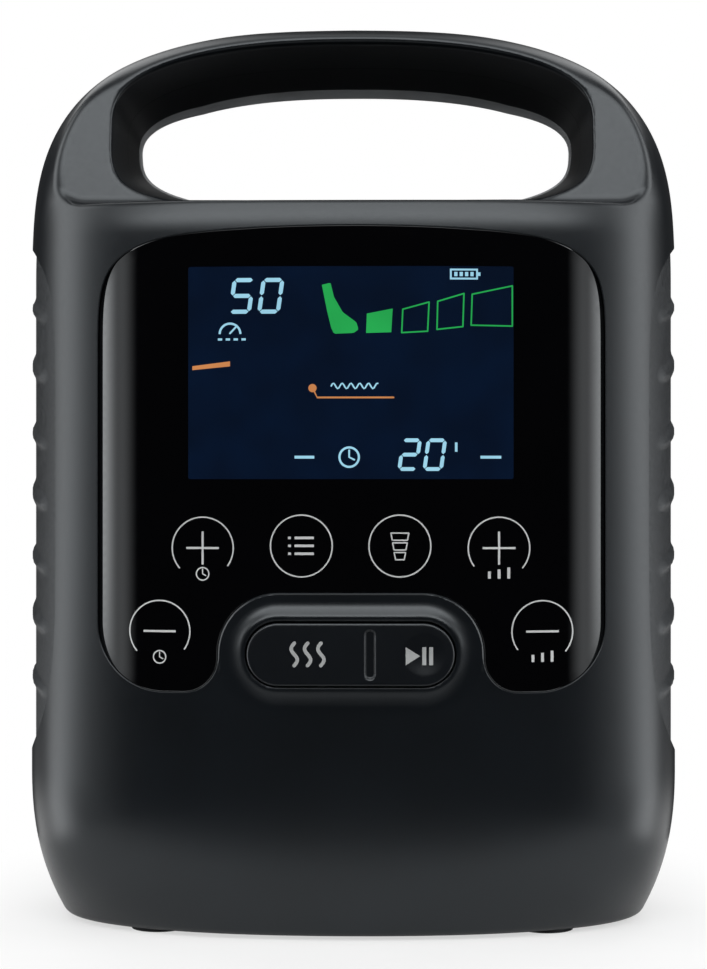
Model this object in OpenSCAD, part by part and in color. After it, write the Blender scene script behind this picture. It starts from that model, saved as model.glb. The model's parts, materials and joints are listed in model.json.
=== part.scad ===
// Compression therapy pump with a carry handle, display, pill key, air pump, valves and battery.
// Origin at the middle of the footprint on the table, +Z up, the front faces -Y, millimetres.

/* [Body] */
// Width of the housing across its sides
body_w = 192; // [188:1:198]
// Height from the table to the top of the handle
body_h = 264; // [262:1:268]
// Depth of the housing between its front and rear faces
body_d = 103; // [102:1:106]
// How far the feet stand out below the housing
foot_h = 1.5; // [1:0.1:2]
// Thickness of the shell walls
wall = 2.6; // [2.4:0.1:2.8]

/* [Handle] */
// Height of the shoulder in front of the hand opening
shoulder_z = 207.8; // [206:0.1:209]
// Half width of the hand opening
grip_half_w = 68.4; // [64:0.1:69]
// Top of the hand opening
grip_top = 255; // [252:0.5:256]

/* [Front panel] */
// Width of the glossy front panel
panel_w = 141.8; // [138:0.1:142]
// Thickness of the front panel
panel_t = 2; // [1.6:0.1:2.2]
// Width of the lit area of the display
lcd_w = 90.7; // [86:0.1:92]
// Height of the lit area of the display
lcd_h = 59.2; // [56:0.1:60]

/* [Pill key] */
// Length of the pill key
key_w = 57.8; // [56:0.1:59]
// Height of the pill key
key_h = 17.6; // [17:0.1:18]
// How far the rim round the key stands out
pod_rise = 2; // [1.5:0.1:2.4]

/* [Air system] */
// Distance between neighbouring hose bores
port_pitch = 22; // [21:0.5:23]
// Radius of a hose bore
port_r = 4; // [3:0.1:4.2]
// Crank throw of the pump
throw = 2; // [1:0.1:2]

/* [Hidden] */
$fn = 64;

// Housing
half_w = body_w / 2;
half_d = body_d / 2;
base_z = foot_h;
plan_power = 3;
plan_steps = 64;
side_wall = 5.9;        // the side walls are thick enough to carry the grips
front_wall = 4.7;       // and the front wall to carry the panel
part_y = 4;             // where the two shells meet
taper_top = 46;         // below this the sides and faces draw in
taper_side = 9.5;
taper_face = 7.5;
taper_power = 2.4;
arch_z = 200.5;         // where the sides start to turn into the handle
arch_power = 2.8;
cut = 0.5;              // how far a cutting solid runs past what it cuts
gap = 0.15;             // fitting gap round parts that are set into the shells

// Handle, in side view
shelf_end = -41.5;
lean_y = -32.7;         // a point on the leaning front face of the handle
lean_z = 222.4;
lean = 3.3;             // rise of that face for each millimetre back
tunnel_mid = 233;
tunnel_steps = 48;

// Side grips
pocket_depth = 3.3;
grip_sink = 1.2;        // the grip's ground lies this far below the housing's side
grip_mid = 124;
grip_half_h = 74;
grip_half_d = 34;
grip_power = 3.2;
grip_top_power = 8;
grip_low_power = 5;
grip_steps = 48;
rib_pitch = 17.5;
rib_count = 7;

// Front panel and display
panel_top = 200.6;
panel_low = 70.7;
panel_r = 28;
lobe_r = 19;
lobe_inner_r = 9.5;
crown_r = 540;
ledge = 5;
lcd_z = 159.6;
glass_y = -46.3;
glass_t = 2;
guide_t = 3;
frame_w = 103;
frame_h = 71;
frame_t = 6.4;
window_play = 0.6;
carrier_y = glass_y + frame_t + 0.4;
carrier_t = 2;
carrier_w = 126;
film_t = 0.3;
film_low = 76;
film_high = 122;
film_inset = 6;
tail_z = 103;
tail_half_w = 6;

// Pill key and its pod
pod_z = 81.3;
key_r = key_h / 2;
key_cx = key_w / 2 - key_r;
key_gap = 0.5;
pod_r = 17.2;
pod_edge = key_cx + pod_r;
key_face = -half_d - pod_rise + 0.3;
key_t = 6;
hinge_x = 4.9;
hinge_y = -44;
pin_r = 1;
pin_play = 0.05;
groove_w = 3.3;
groove_h = 14.2;
groove_deep = 0.8;
dimple_x = 20.5;
dimple_r = 6.1;
dimple_deep = 0.7;
switch_xs = [-20, 21];
switch_gap = 0.8;
board_y = -40.6;
key_board_t = 1.6;
board_post_xs = [-28, 28];
board_post_zs = [pod_z - 9, pod_z + 9];
board_post_r = 2.4;

// Main board behind the display
main_y = -30.4;
main_t = 1.6;
main_w = 126;
main_low = 106;
main_high = 190;
post_xs = [-59, 59];
post_zs = [112, 184];
post_r = 3;
screw_r = 1.25;

// Battery bay
cell_r = 9.2;
cell_len = 65;
cell_y = 30;
cell_zs = [19.5, 38.5];
cell_xs = [-33.5, 33.5];
cover_half_w = 74;
cover_low = 9;
cover_high = 59;
cover_step = 3;
battery_screw_x = 55;
battery_screw_z = 53;
tray_y0 = 16;
tray_y1 = 27;
tray_half_w = 69;

// Outlets, inlets and switch on the rear face
port_count = 5;
port_z = 150;
port_depth = 14.5;
seal_r = 3.2;
seal_t = 1.5;
socket_half_w = 58;
socket_half_h = 11;
socket_back = half_d + pod_rise;
manifold_y0 = 14;
manifold_y1 = 30;
jack_x = -46;
jack_z = 78;
jack_r = 2.8;
heater_x = -24;
filter_x = -34;
filter_z = 111;
filter_r = 13;
rocker_x = 36;
rocker_z = 78;
rocker_half_l = 8.8;
rocker_half_h = 6.1;
rocker_pivot_y = 46.5;
rocker_tilt = 10;
rocker_pin_r = 0.9;
bezel_half_l = 10.4;
bezel_half_h = 7.2;
vent_x = 36;
vent_z = 111;
vent_count = 9;
vent_pitch = 5;

// Valves on the manifold
valve_y = 22;
valve_seat = port_z + 12;
coil_w = 18;
coil_h = 28;
coil_r = 7.2;
plunger_r = 3;
plunger_play = 0.05;
plunger_h = 20;
plunger_rest = 0.3;

// Pump
shaft_y = -12;
shaft_z = 35;
motor_r = 16;
motor_x0 = -62;
motor_x1 = -22;
case_x0 = -19;
case_x1 = 18;
case_half_d = 19;
case_low = 16.5;
case_top = 51.5;
rod_x0 = -3;
rod_w = 5;
shaft_r = 1.6;
crank_pin_r = 2.5;
bearing_r = 6.5;
membrane_t = 1.2;
membrane_r = 17;
plate_h = 6;
head_h = 9;
screw_bite = 9;
screw_inset = 3.6;
mount_h = 8;
mount_xs = [-57, 8];
mount_half_d = 15.5;
cradle_t = 1.6;
pump_x = (case_x0 + case_x1) / 2;
plate_low = case_top + membrane_t;
head_low = plate_low + plate_h;
head_top = head_low + head_h;
nozzle_r = 2.2;
tube_r = 3.4;
tube_bore = 2.2;
outlet_x = pump_x + 8;
tube_bend = 12;
sensor_x = 26;
sensor_z = port_z - 4;

// Fasteners between the shells: x and z of each
boss_places = [[-74, 64], [74, 64], [-76, 126], [76, 126], [-72, 194], [72, 194]];
boss_r = 4.2;
housing_screw_r = 1.6;
foot_places = [[-56, -24], [56, -24], [-56, 24], [56, 24]];
foot_r = 8;

charcoal = [0.11, 0.12, 0.13];
rubber = [0.07, 0.07, 0.08];
gloss = [0.02, 0.02, 0.03];
steel = [0.7, 0.71, 0.73];
board_green = [0.08, 0.32, 0.18];
white_nylon = [0.86, 0.86, 0.83];

// ---------- outlines ----------

function power(v, p) = sign(v) * pow(abs(v), p);

// Points of an arc about a centre
function arc(cx, cy, r, from, to, steps) =
    [for (i = [0:steps]) let (t = from + (to - from) * i / steps) [cx + r * cos(t), cy + r * sin(t)]];

// Plan of the housing, drawn in by dx at the sides, df at the front and dr at the rear
function plan(dx, df, dr) =
    [for (i = [0:plan_steps - 1]) let (t = 360 * i / plan_steps, d = sin(t) < 0 ? df : dr)
        [(half_w - dx) * power(cos(t), 2 / plan_power), (half_d - d) * power(sin(t), 2 / plan_power)]];

// Depth of the rear face at a distance from the middle, above the taper
function face_y(x) = half_d * pow(1 - pow(abs(x) / half_w, plan_power), 1 / plan_power);

// How much the lower housing draws in at a height, out of a full amount
function draw_in(z, amount) = amount * pow(max(0, taper_top - z) / (taper_top - base_z), taper_power);
taper_zs = [for (i = [0:8]) base_z + (taper_top - base_z) * i / 8];

// Right half of the front outline, from the base to the top of the handle
function side_edge(dx, dz) = concat(
    [for (z = taper_zs) [half_w - dx - draw_in(z, taper_side), max(z, base_z + dz)]],
    [for (i = [0:16]) let (t = 90 * i / 16, rise = body_h - dz - arch_z)
        [(half_w - dx) * pow(cos(t), 2 / arch_power), arch_z + rise * pow(sin(t), 2 / arch_power)]]
);
function mirrored(points) = [for (i = [len(points) - 1:-1:0]) [-points[i][0], points[i][1]]];

// Side view of the housing: front face, shelf, leaning handle face, rounded top, rear face
function lean_at(z, d) = lean_y + d + (z - lean_z) / lean;
function side_view(df, dr, dz) = concat(
    [for (z = taper_zs) [-half_d + df + draw_in(z, taper_face), max(z, base_z + dz)]],
    [[-half_d + df, shoulder_z - dz], [shelf_end + dz, shoulder_z - dz]],
    arc(shelf_end + dz, shoulder_z + 6 - dz, 6, 285, 335, 3),
    [[lean_at(body_h - 8 - dz, dz), body_h - 8 - dz]],
    arc(lean_at(body_h - 8 - dz, dz) + 9, body_h - 9 - dz, 9, 160, 95, 4),
    arc(2, body_h - 70 - dz, 70, 88, 68, 4),
    [[38 - dr, body_h - 16 - dz], [46 - dr, body_h - 36 - dz]],
    [[half_d - dr - 1, 205 - dz], [half_d - dr, 190]],
    [for (i = [8:-1:0]) [half_d - dr - draw_in(taper_zs[i], taper_face), max(taper_zs[i], base_z + dz)]]
);

// Hand opening, grown by g
function tunnel(g) =
    [for (i = [0:tunnel_steps - 1])
        let (t = 360 * i / tunnel_steps, n = sin(t) < 0 ? 4.5 : 2.4,
             b = sin(t) < 0 ? tunnel_mid - shoulder_z : grip_top - tunnel_mid)
        [(grip_half_w + g) * power(cos(t), 2 / n), tunnel_mid + (b + g) * power(sin(t), 2 / n)]];

// Outline of a grip seen from the side, drawn in by i
function grip_outline(i) =
    [for (k = [0:grip_steps - 1])
        let (t = 360 * k / grip_steps, p = sin(t) < 0 ? grip_low_power : grip_top_power)
        [(grip_half_d - i) * power(cos(t), 2 / grip_power), (grip_half_h - i) * power(sin(t), 2 / p)]];

// ---------- placing ----------

// Outline in x and z, given depth from y0 to y1
module along_y(y0, y1) translate([0, y1, 0]) rotate([90, 0, 0]) linear_extrude(y1 - y0) children();

// Outline in y and z, given width from x0 to x1
module along_x(x0, x1) translate([x0, 0, 0]) rotate([90, 0, 90]) linear_extrude(x1 - x0) children();

module rod_y(x, z, r, y0, y1) translate([x, y0, z]) rotate([-90, 0, 0]) cylinder(r = r, h = y1 - y0);
module rod_x(y, z, r, x0, x1) translate([x0, y, z]) rotate([0, 90, 0]) cylinder(r = r, h = x1 - x0);
module rod_z(x, y, r, z0, z1) translate([x, y, z0]) cylinder(r = r, h = z1 - z0);

// Block between two corners
module block(a, b) translate(a) cube(b - a);

// Round-ended bar lying along x
module pill(half_length, r) {
    translate([-half_length, -r]) square([2 * half_length, 2 * r]);
    for (s = [-1, 1]) translate([s * half_length, 0]) circle(r);
}

module rounded(w, h, r) {
    translate([-w / 2 + r, -h / 2]) square([w - 2 * r, h]);
    translate([-w / 2, -h / 2 + r]) square([w, h - 2 * r]);
    for (x = [-1, 1], y = [-1, 1]) translate([x * (w / 2 - r), y * (h / 2 - r)]) circle(r);
}

// ---------- housing ----------

// The housing's solid form, drawn in from its surface
module form(dx, df, dr, dz) intersection() {
    linear_extrude(body_h) polygon(plan(dx, df, dr));
    along_y(-half_d, half_d) polygon(concat(side_edge(dx, dz), mirrored(side_edge(dx, dz))));
    along_x(-half_w, half_w) polygon(side_view(df, dr, dz));
}

// Walls of the whole housing, with the hand opening through the handle
module housing() difference() {
    form(0, 0, 0, 0);
    along_y(-half_d - cut, half_d + cut) polygon(tunnel(0));
    difference() {
        form(side_wall, front_wall, wall, wall);
        along_y(-half_d, half_d) polygon(tunnel(wall));
    }
}

module front_half() intersection() {
    children();
    block([-half_w - 1, -half_d - 9, -1], [half_w + 1, part_y, body_h + 1]);
}

module rear_half() intersection() {
    children();
    block([-half_w - 1, part_y, -1], [half_w + 1, half_d + 9, body_h + 1]);
}

// Front panel's outline, drawn in by i
module panel_outline(i) difference() {
    union() {
        intersection() {
            translate([0, panel_top - crown_r]) circle(crown_r - i, $fn = 360);
            union() {
                translate([-panel_w / 2 + i, panel_low + lobe_r])
                    square([panel_w - 2 * i, panel_top - panel_low - lobe_r - panel_r]);
                translate([-panel_w / 2 + panel_r, panel_low + lobe_r])
                    square([panel_w - 2 * panel_r, panel_top - panel_low - lobe_r]);
                for (s = [-1, 1]) translate([s * (panel_w / 2 - panel_r), panel_top - panel_r])
                    circle(panel_r - i);
            }
        }
        for (s = [0, 1]) mirror([s, 0]) {
            translate([panel_w / 2 - lobe_r, panel_low + lobe_r]) circle(lobe_r - i);
            translate([pod_edge + lobe_inner_r, panel_low + lobe_inner_r]) circle(lobe_inner_r - i);
            translate([pod_edge + lobe_inner_r, panel_low + i])
                square([panel_w / 2 - lobe_r - pod_edge - lobe_inner_r, lobe_r]);
            translate([pod_edge + i, panel_low + lobe_inner_r]) square([lobe_r - i, lobe_r]);
        }
    }
    translate([0, pod_z]) pill(key_cx, pod_r + i);
    translate([-pod_edge - i, panel_low - lobe_r])
        square([2 * (pod_edge + i), pod_z - panel_low + lobe_r]);
}

// Layer of the front wall between two depths below its surface
module front_layer(d0, d1) intersection() {
    linear_extrude(panel_top + panel_r) difference() {
        polygon(plan(0, d0, 0));
        polygon(plan(0, d1, 0));
    }
    block([-panel_w / 2 - 1, -half_d - 1, 0], [panel_w / 2 + 1, 0, body_h]);
}

// Profile of the pod from the key's hole outwards: distance from the pill's axis, and depth
pod_profile = [[key_r + key_gap, -46.5], [key_r + key_gap, -half_d - pod_rise + 0.4],
    [key_r + key_gap + 0.5, -half_d - pod_rise], [key_r + key_gap + 1.7, -half_d - pod_rise],
    [key_r + key_gap + 3.6, -half_d - 1], [key_r + key_gap + 6, -half_d], [pod_r - 0.3, -half_d + 0.9],
    [pod_r - 0.3, -46.5]];

module pod() translate([0, 0, pod_z]) rotate([90, 0, 0]) {
    profile = [for (p = pod_profile) [p[0], -p[1]]];
    for (s = [-1, 1]) translate([s * key_cx, 0, 0]) rotate([0, 0, s * 90 - 180])
        rotate_extrude(angle = 180) polygon(profile);
    for (s = [0, 1]) mirror([0, s, 0]) translate([-key_cx, 0, 0]) rotate([90, 0, 90])
        linear_extrude(2 * key_cx) polygon(profile);
}

module key_hole() translate([0, 0, pod_z]) along_y(-half_d - 9, -40) pill(key_cx, key_r + key_gap);

module grip_prism(s, inset, x0) along_x(s < 0 ? -half_w - 1 : x0, s < 0 ? -x0 : half_w + 1)
    translate([0, grip_mid]) polygon(grip_outline(inset));

// Cut for a grip: the side wall down to the pocket's floor
module grip_pocket(s) difference() {
    grip_prism(s, 0, half_w / 2);
    form(pocket_depth, 0, 0, 0);
}

// Screw posts that stand between the front wall and the rear wall
module boss(x, z, r) intersection() {
    rod_y(x, z, r, -half_d, half_d);
    form(2, 1, 1, 1);
}

// Where the touch film lies behind the panel
module film_patch(grow) intersection() {
    panel_outline(film_inset - grow);
    translate([-half_w, film_low - grow]) square([body_w, film_high - film_low + 2 * grow]);
}

module panel_seat() {
    intersection() {
        front_layer(-1, panel_t + 0.1);
        along_y(-half_d - 1, 0) panel_outline(-gap);
    }
    intersection() {
        front_layer(-1, panel_t + 0.2 + film_t);
        along_y(-half_d - 1, 0) film_patch(0.3);
    }
    along_y(-half_d, -30) {
        translate([0, lcd_z]) square([frame_w + 2 * window_play, frame_h + 2 * window_play], center = true);
        translate([0, tail_z]) square([2 * tail_half_w + 1, 2], center = true);
    }
}

module front_shell() color(charcoal) difference() {
    union() {
        front_half() difference() {
            housing();
            panel_seat();
        }
        pod();
        front_half() for (p = boss_places) boss(p[0], p[1], boss_r);
        for (z = [pod_z - key_r - key_gap - 3.6, pod_z + key_r + key_gap + 0.6])
            block([hinge_x - 3, -47, z], [hinge_x + 3, hinge_y + 2.6, z + 3]);
        for (x = post_xs, z = post_zs) rod_y(x, z, post_r, -43, carrier_y);
        for (x = board_post_xs, z = board_post_zs) rod_y(x, z, board_post_r, -47, board_y);
    }
    key_hole();
    rod_z(hinge_x, hinge_y, pin_r, pod_z - 14, pod_z + 14);
    for (x = board_post_xs, z = board_post_zs) rod_y(x, z, screw_r, board_y - 4, board_y + 1);
    for (p = boss_places) rod_y(p[0], p[1], housing_screw_r, part_y - 14, part_y + 1);
    for (s = [-1, 1]) grip_pocket(s);
    for (p = foot_places) rod_z(p[0], p[1], foot_r + gap, base_z - 1, base_z + 1.2);
}

// Opening for the battery cover: a sill is left behind its edge
module cover_patch(inset) intersection() {
    rear_half() form(0, 0, 0, 0);
    along_y(10, half_d + cut) translate([0, (cover_low + cover_high) / 2])
        rounded(2 * (cover_half_w - inset), cover_high - cover_low - 2 * inset, 6);
}

module rear_shell() color(charcoal) difference() {
    union() {
        rear_half() difference() {
            housing();
            difference() {
                cover_patch(0);
                form(0, 0, 1.4, 0);
            }
            cover_patch(cover_step);
        }
        rear_half() for (p = boss_places) boss(p[0], p[1], boss_r);
    }
    for (p = boss_places) {
        rod_y(p[0], p[1], housing_screw_r + 0.2, part_y - 1, half_d);
        rod_y(p[0], p[1], 3.2, 27, half_d);
    }
    for (s = [-1, 1]) grip_pocket(s);
    for (p = foot_places) rod_z(p[0], p[1], foot_r + gap, base_z - 1, base_z + 1.2);
    translate([0, 0, port_z]) along_y(manifold_y1 + 2, half_d + cut)
        rounded(2 * (socket_half_w + gap), 2 * (socket_half_h + gap), 8);
    for (x = [jack_x, heater_x]) rod_y(x, jack_z, 5.6, 30, half_d + cut);
    along_y(30, half_d + cut) translate([rocker_x, rocker_z])
        rounded(2 * (bezel_half_l + gap), 2 * (bezel_half_h + gap), 1);
    rod_y(filter_x, filter_z, filter_r + 0.2, 30, half_d + cut);
    for (i = [0:vent_count - 1]) translate([vent_x + (i - (vent_count - 1) / 2) * vent_pitch, 0, vent_z])
        along_y(30, half_d + cut) rotate(90) pill(9, 1.1);
}

// Grip for one side: a rubber skin with raised ribs
module side_grip(s) color(rubber) intersection() {
    grip_prism(s, gap, half_w / 2);
    union() {
        difference() {
            form(grip_sink, 0, 0, 0);
            form(pocket_depth - 0.05, 0, 0, 0);
        }
        for (i = [0:rib_count - 1]) intersection() {
            difference() {
                form(0.1, 0, 0, 0);
                form(grip_sink + 0.5, 0, 0, 0);
            }
            along_x(s < 0 ? -half_w - 1 : 0, s < 0 ? 0 : half_w + 1)
                for (side = [-1, 1]) translate([side * 13, grip_mid + (i - (rib_count - 1) / 2) * rib_pitch])
                    rotate(side * 24) rounded(24, 7, 3.4);
        }
    }
}

module control_panel() color(gloss) intersection() {
    front_layer(0, panel_t);
    along_y(-half_d - 1, 0) panel_outline(0);
}

module panel_tape() color("dimgray") intersection() {
    front_layer(panel_t + 0.02, panel_t + 0.09);
    along_y(-half_d - 1, 0) difference() {
        panel_outline(0.5);
        panel_outline(ledge - 0.5);
    }
}

module feet() color(rubber) for (p = foot_places) rod_z(p[0], p[1], foot_r, 0, base_z + 1.15);

module screw_y(x, z, y0, y1, r, head_r, head_t) {
    rod_y(x, z, r, y0, y1);
    difference() {
        rod_y(x, z, head_r, y1, y1 + head_t);
        along_y(y1 + head_t / 2, y1 + head_t + 1) translate([x, z]) for (a = [0, 90]) rotate(a)
            square([head_r * 1.1, head_r * 0.3], center = true);
    }
}

module housing_screws() color(steel) for (p = boss_places)
    screw_y(p[0], p[1], part_y - 13, 27, housing_screw_r, 3, 2);

// ---------- pill key ----------

module rocker_key() color(charcoal) difference() {
    union() {
        translate([0, 0, pod_z]) along_y(key_face, key_face + key_t) pill(key_cx, key_r);
        rod_z(hinge_x, hinge_y, 2.4, pod_z - key_r + 0.2, pod_z + key_r - 0.2);
        block([hinge_x - 1.2, key_face + key_t - 1, pod_z - key_r + 0.2],
            [hinge_x + 1.2, hinge_y, pod_z + key_r - 0.2]);
        for (x = switch_xs) rod_y(x, pod_z, 2.2, key_face + key_t - 1, board_y - 3.7 - switch_gap);
    }
    rod_z(hinge_x, hinge_y, pin_r + pin_play, pod_z - 14, pod_z + 14);
    along_y(key_face - 1, key_face + groove_deep) translate([hinge_x, pod_z]) rotate(90)
        pill((groove_h - groove_w) / 2, groove_w / 2);
    dimple_ball = (dimple_r * dimple_r + dimple_deep * dimple_deep) / (2 * dimple_deep);
    translate([dimple_x, key_face - dimple_ball + dimple_deep, pod_z]) sphere(dimple_ball);
}

module key_pivot_pin() color(steel) rod_z(hinge_x, hinge_y, pin_r, pod_z - 12.6, pod_z + 12.6);

module key_board() color(board_green) difference() {
    block([-32, board_y, pod_z - 12], [32, board_y + key_board_t, pod_z + 12]);
    for (x = board_post_xs, z = board_post_zs) rod_y(x, z, screw_r, board_y - 1, board_y + 3);
}

module tact_switches() color("black") for (x = switch_xs) {
    block([x - 3, board_y - 2.4, pod_z - 3], [x + 3, board_y, pod_z + 3]);
    rod_y(x, pod_z, 1.7, board_y - 3.7, board_y - 2.4);
}

// ---------- display and touch keys ----------

module display_glass() color([0.02, 0.05, 0.12])
    block([-frame_w / 2 + 2, glass_y, lcd_z - frame_h / 2 + 2],
        [frame_w / 2 - 2, glass_y + glass_t, lcd_z + frame_h / 2 - 2]);

module light_guide() color([0.75, 0.85, 0.95])
    block([-lcd_w / 2 - 2, glass_y + glass_t + 0.1, lcd_z - lcd_h / 2 - 2],
        [lcd_w / 2 + 2, glass_y + glass_t + guide_t, lcd_z + lcd_h / 2 + 2]);

module display_frame() color(steel) difference() {
    block([-frame_w / 2, glass_y, lcd_z - frame_h / 2],
        [frame_w / 2, glass_y + frame_t, lcd_z + frame_h / 2]);
    block([-frame_w / 2 + 1.9, glass_y - 1, lcd_z - frame_h / 2 + 1.9],
        [frame_w / 2 - 1.9, glass_y + glass_t + 0.05, lcd_z + frame_h / 2 - 1.9]);
    block([-lcd_w / 2 - 2.1, glass_y, lcd_z - lcd_h / 2 - 2.1],
        [lcd_w / 2 + 2.1, glass_y + glass_t + guide_t + 0.1, lcd_z + lcd_h / 2 + 2.1]);
}

module display_carrier() color("dimgray") difference() {
    union() {
        along_y(carrier_y, carrier_y + carrier_t) difference() {
            translate([0, (main_low + main_high) / 2]) rounded(carrier_w, main_high - main_low, 4);
            translate([0, lcd_z]) square([80, 48], center = true);
        }
        for (x = post_xs, z = post_zs) rod_y(x, z, post_r, carrier_y + carrier_t - 0.5, main_y);
    }
    for (x = post_xs, z = post_zs) rod_y(x, z, screw_r, carrier_y - 1, main_y + 1);
}

// Flexible circuit of the touch keys, with a tail that runs back to the main board
module touch_film() color("peru") {
    intersection() {
        front_layer(panel_t + 0.15, panel_t + 0.15 + film_t);
        along_y(-half_d - 1, 0) film_patch(0);
    }
    block([-tail_half_w, -half_d + panel_t + 0.4, tail_z - 0.1], [tail_half_w, main_y - 1.6, tail_z + 0.1]);
    block([-tail_half_w, main_y - 1.6, tail_z - 0.1], [tail_half_w, main_y - 1.4, main_low + 8]);
}

// Flat cable from the display to the main board
module ribbon_cable() color("goldenrod") {
    block([-12, glass_y + frame_t, 157.8], [12, main_y - 5.1, 158]);
    block([-12, main_y - 5.4, 122], [12, main_y - 5.1, 158]);
    block([-12, main_y - 5.4, 121.7], [12, main_y, 122]);
}

module main_board() color(board_green) difference() {
    block([-main_w / 2, main_y, main_low], [main_w / 2, main_y + main_t, main_high]);
    for (x = post_xs, z = post_zs) rod_y(x, z, screw_r, main_y - 1, main_y + 3);
}

// Connectors, chips, capacitors, buzzer and heat sink on the rear of the main board
module board_components() {
    top = main_y + main_t;
    color("ivory") for (x = [-48, -34, -20, -6, 8]) block([x - 5, top, 176], [x + 5, top + 6, 183]);
    color("ivory") block([-8, main_y - 1.4, main_low + 3], [8, main_y, main_low + 8]);
    color("black") block([-30, top, 150], [-14, top + 1.4, 166]);
    color("black") for (x = [-12, 40]) block([x, top, 128], [x + 8, top + 1.8, 133]);
    color("black") rod_y(34, 120, 6.5, top, top + 8);
    color("navy") for (x = [-50, -37]) rod_y(x, 124, 5, top, top + 12);
    color(steel) for (i = [0:5]) block([38 + i * 3, top + 2, 162], [39.2 + i * 3, top + 10, 180]);
    color(steel) block([38, top, 162], [54.2, top + 2, 180]);
}

module pressure_sensor() color("black") {
    top = main_y + main_t;
    block([sensor_x - 5, top, sensor_z - 5], [sensor_x + 5, top + 5, sensor_z + 5]);
    rod_y(sensor_x, sensor_z, 1.4, top + 5, top + 12);
}

// Machine screws that hold the carrier, the main board and the key board
module small_screws() color(steel) {
    for (x = post_xs, z = post_zs) screw_y(x, z, main_y - 4, main_y + main_t, screw_r - 0.05, 2.4, 1.6);
    for (x = board_post_xs, z = board_post_zs)
        screw_y(x, z, board_y - 3.5, board_y + key_board_t, screw_r - 0.05, 2.2, 1.4);
}

// ---------- battery ----------

module battery_cells() color("royalblue") for (x = cell_xs, z = cell_zs) {
    rod_x(cell_y, z, cell_r, x - cell_len / 2, x + cell_len / 2 - 1.2);
    rod_x(cell_y, z, 3, x + cell_len / 2 - 1.2, x + cell_len / 2);
}

battery_post_y = face_y(battery_screw_x) - wall - 0.8;

module battery_tray() color("dimgray") difference() {
    union() {
        block([-tray_half_w, tray_y0, base_z + wall], [tray_half_w, tray_y1, cover_high - 1]);
        for (s = [-1, 1]) rod_y(s * battery_screw_x, battery_screw_z, 3, tray_y1 - 1, battery_post_y);
    }
    for (z = cell_zs) rod_x(cell_y, z, cell_r + 0.2, -67, 67);
    block([-67, cell_y - 6, cell_zs[0] - 5], [67, cell_y + 9, cell_zs[1] + 5]);
    block([-40, tray_y0 - 1, 20], [40, tray_y1, 38]);
    for (s = [-1, 1]) rod_y(s * battery_screw_x, battery_screw_z, screw_r, tray_y1, half_d);
}

module battery_cover() color(charcoal) difference() {
    union() {
        difference() {
            cover_patch(0.3);
            form(0, 0, 1.3, 0);
        }
        difference() {
            cover_patch(cover_step + 0.4);
            form(0, 0, wall, 0);
        }
    }
    for (s = [-1, 1]) {
        rod_y(s * battery_screw_x, battery_screw_z, screw_r + 0.2, 40, half_d + 1);
        rod_y(s * battery_screw_x, battery_screw_z, 2.8, face_y(battery_screw_x) - 1.4, half_d + 1);
    }
}

module battery_screws() color(steel) for (s = [-1, 1])
    screw_y(s * battery_screw_x, battery_screw_z, 36, face_y(battery_screw_x) - 1.4,
        screw_r - 0.05, 2.4, 1.2);

// ---------- rear face ----------

module dc_socket(x) {
    front = face_y(x) - 0.6;
    difference() {
        union() {
            rod_y(x, jack_z, 5.5, 30, front);
            block([x - 4.5, 26, jack_z - 6], [x + 4.5, 36, jack_z + 5]);
        }
        rod_y(x, jack_z, jack_r, front - 12, front + 1);
    }
    rod_y(x, jack_z, 0.8, front - 12, front - 1.5);
}

module dc_jack() color("black") dc_socket(jack_x);
module heater_socket() color("black") dc_socket(heater_x);

bezel_y = face_y(rocker_x) + 0.4;

module power_switch() color("black") difference() {
    along_y(26, bezel_y) translate([rocker_x, rocker_z]) rounded(2 * bezel_half_l, 2 * bezel_half_h, 0.9);
    block([rocker_x - rocker_half_l - 0.8, 36, rocker_z - rocker_half_h - 0.3],
        [rocker_x + rocker_half_l + 0.8, half_d, rocker_z + rocker_half_h + 0.3]);
    rocker_axis(rocker_pin_r + 0.3, bezel_half_h + 1);
}

module rocker_axis(r, half_length) translate([rocker_x, rocker_pivot_y, rocker_z - half_length])
    cylinder(r = r, h = 2 * half_length);

// Rocker of the power switch, tilted about its two pins, with its left end pressed in
module power_rocker() color("black") {
    translate([rocker_x, rocker_pivot_y, rocker_z - rocker_half_h]) rotate([0, 0, rocker_tilt])
        linear_extrude(2 * rocker_half_h) polygon([
            [-rocker_half_l, 2.8], [-5, 1.6], [0, 1.2], [5, 1.6], [rocker_half_l, 2.8],
            [6.5, -2.5], [0, -5], [-6.5, -2.5]
        ]);
    rocker_axis(rocker_pin_r, rocker_half_h + 0.8);
}

module filter_cover() color(charcoal) difference() {
    rod_y(filter_x, filter_z, filter_r, 42, face_y(filter_x));
    rod_y(filter_x, filter_z, filter_r - 1.4, 41, face_y(filter_x) - 2);
    for (i = [-3:3]) translate([filter_x + i * 3, 0, filter_z]) along_y(40, half_d + 1) rotate(90)
        pill(sqrt(pow(filter_r - 4, 2) - pow(2.9 * i, 2)), 0.8);
}

module filter_foam() color("darkgray") rod_y(filter_x, filter_z, filter_r - 1.5, 43, face_y(filter_x) - 2.1);

port_xs = [for (i = [0:port_count - 1]) (i - (port_count - 1) / 2) * port_pitch];

module hose_socket() color("gray") difference() {
    union() {
        translate([0, 0, port_z]) along_y(manifold_y1, socket_back)
            rounded(2 * socket_half_w, 2 * socket_half_h, 7.8);
        for (x = port_xs) rod_y(x, port_z, port_r + 2.2, socket_back - 1, socket_back);
    }
    for (x = port_xs) {
        rod_y(x, port_z, port_r, socket_back - port_depth, socket_back + 1);
        rod_y(x, port_z, seal_r, socket_back - port_depth - seal_t, socket_back);
        rod_y(x, port_z, 1.6, manifold_y1 - 1, socket_back);
    }
}

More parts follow.
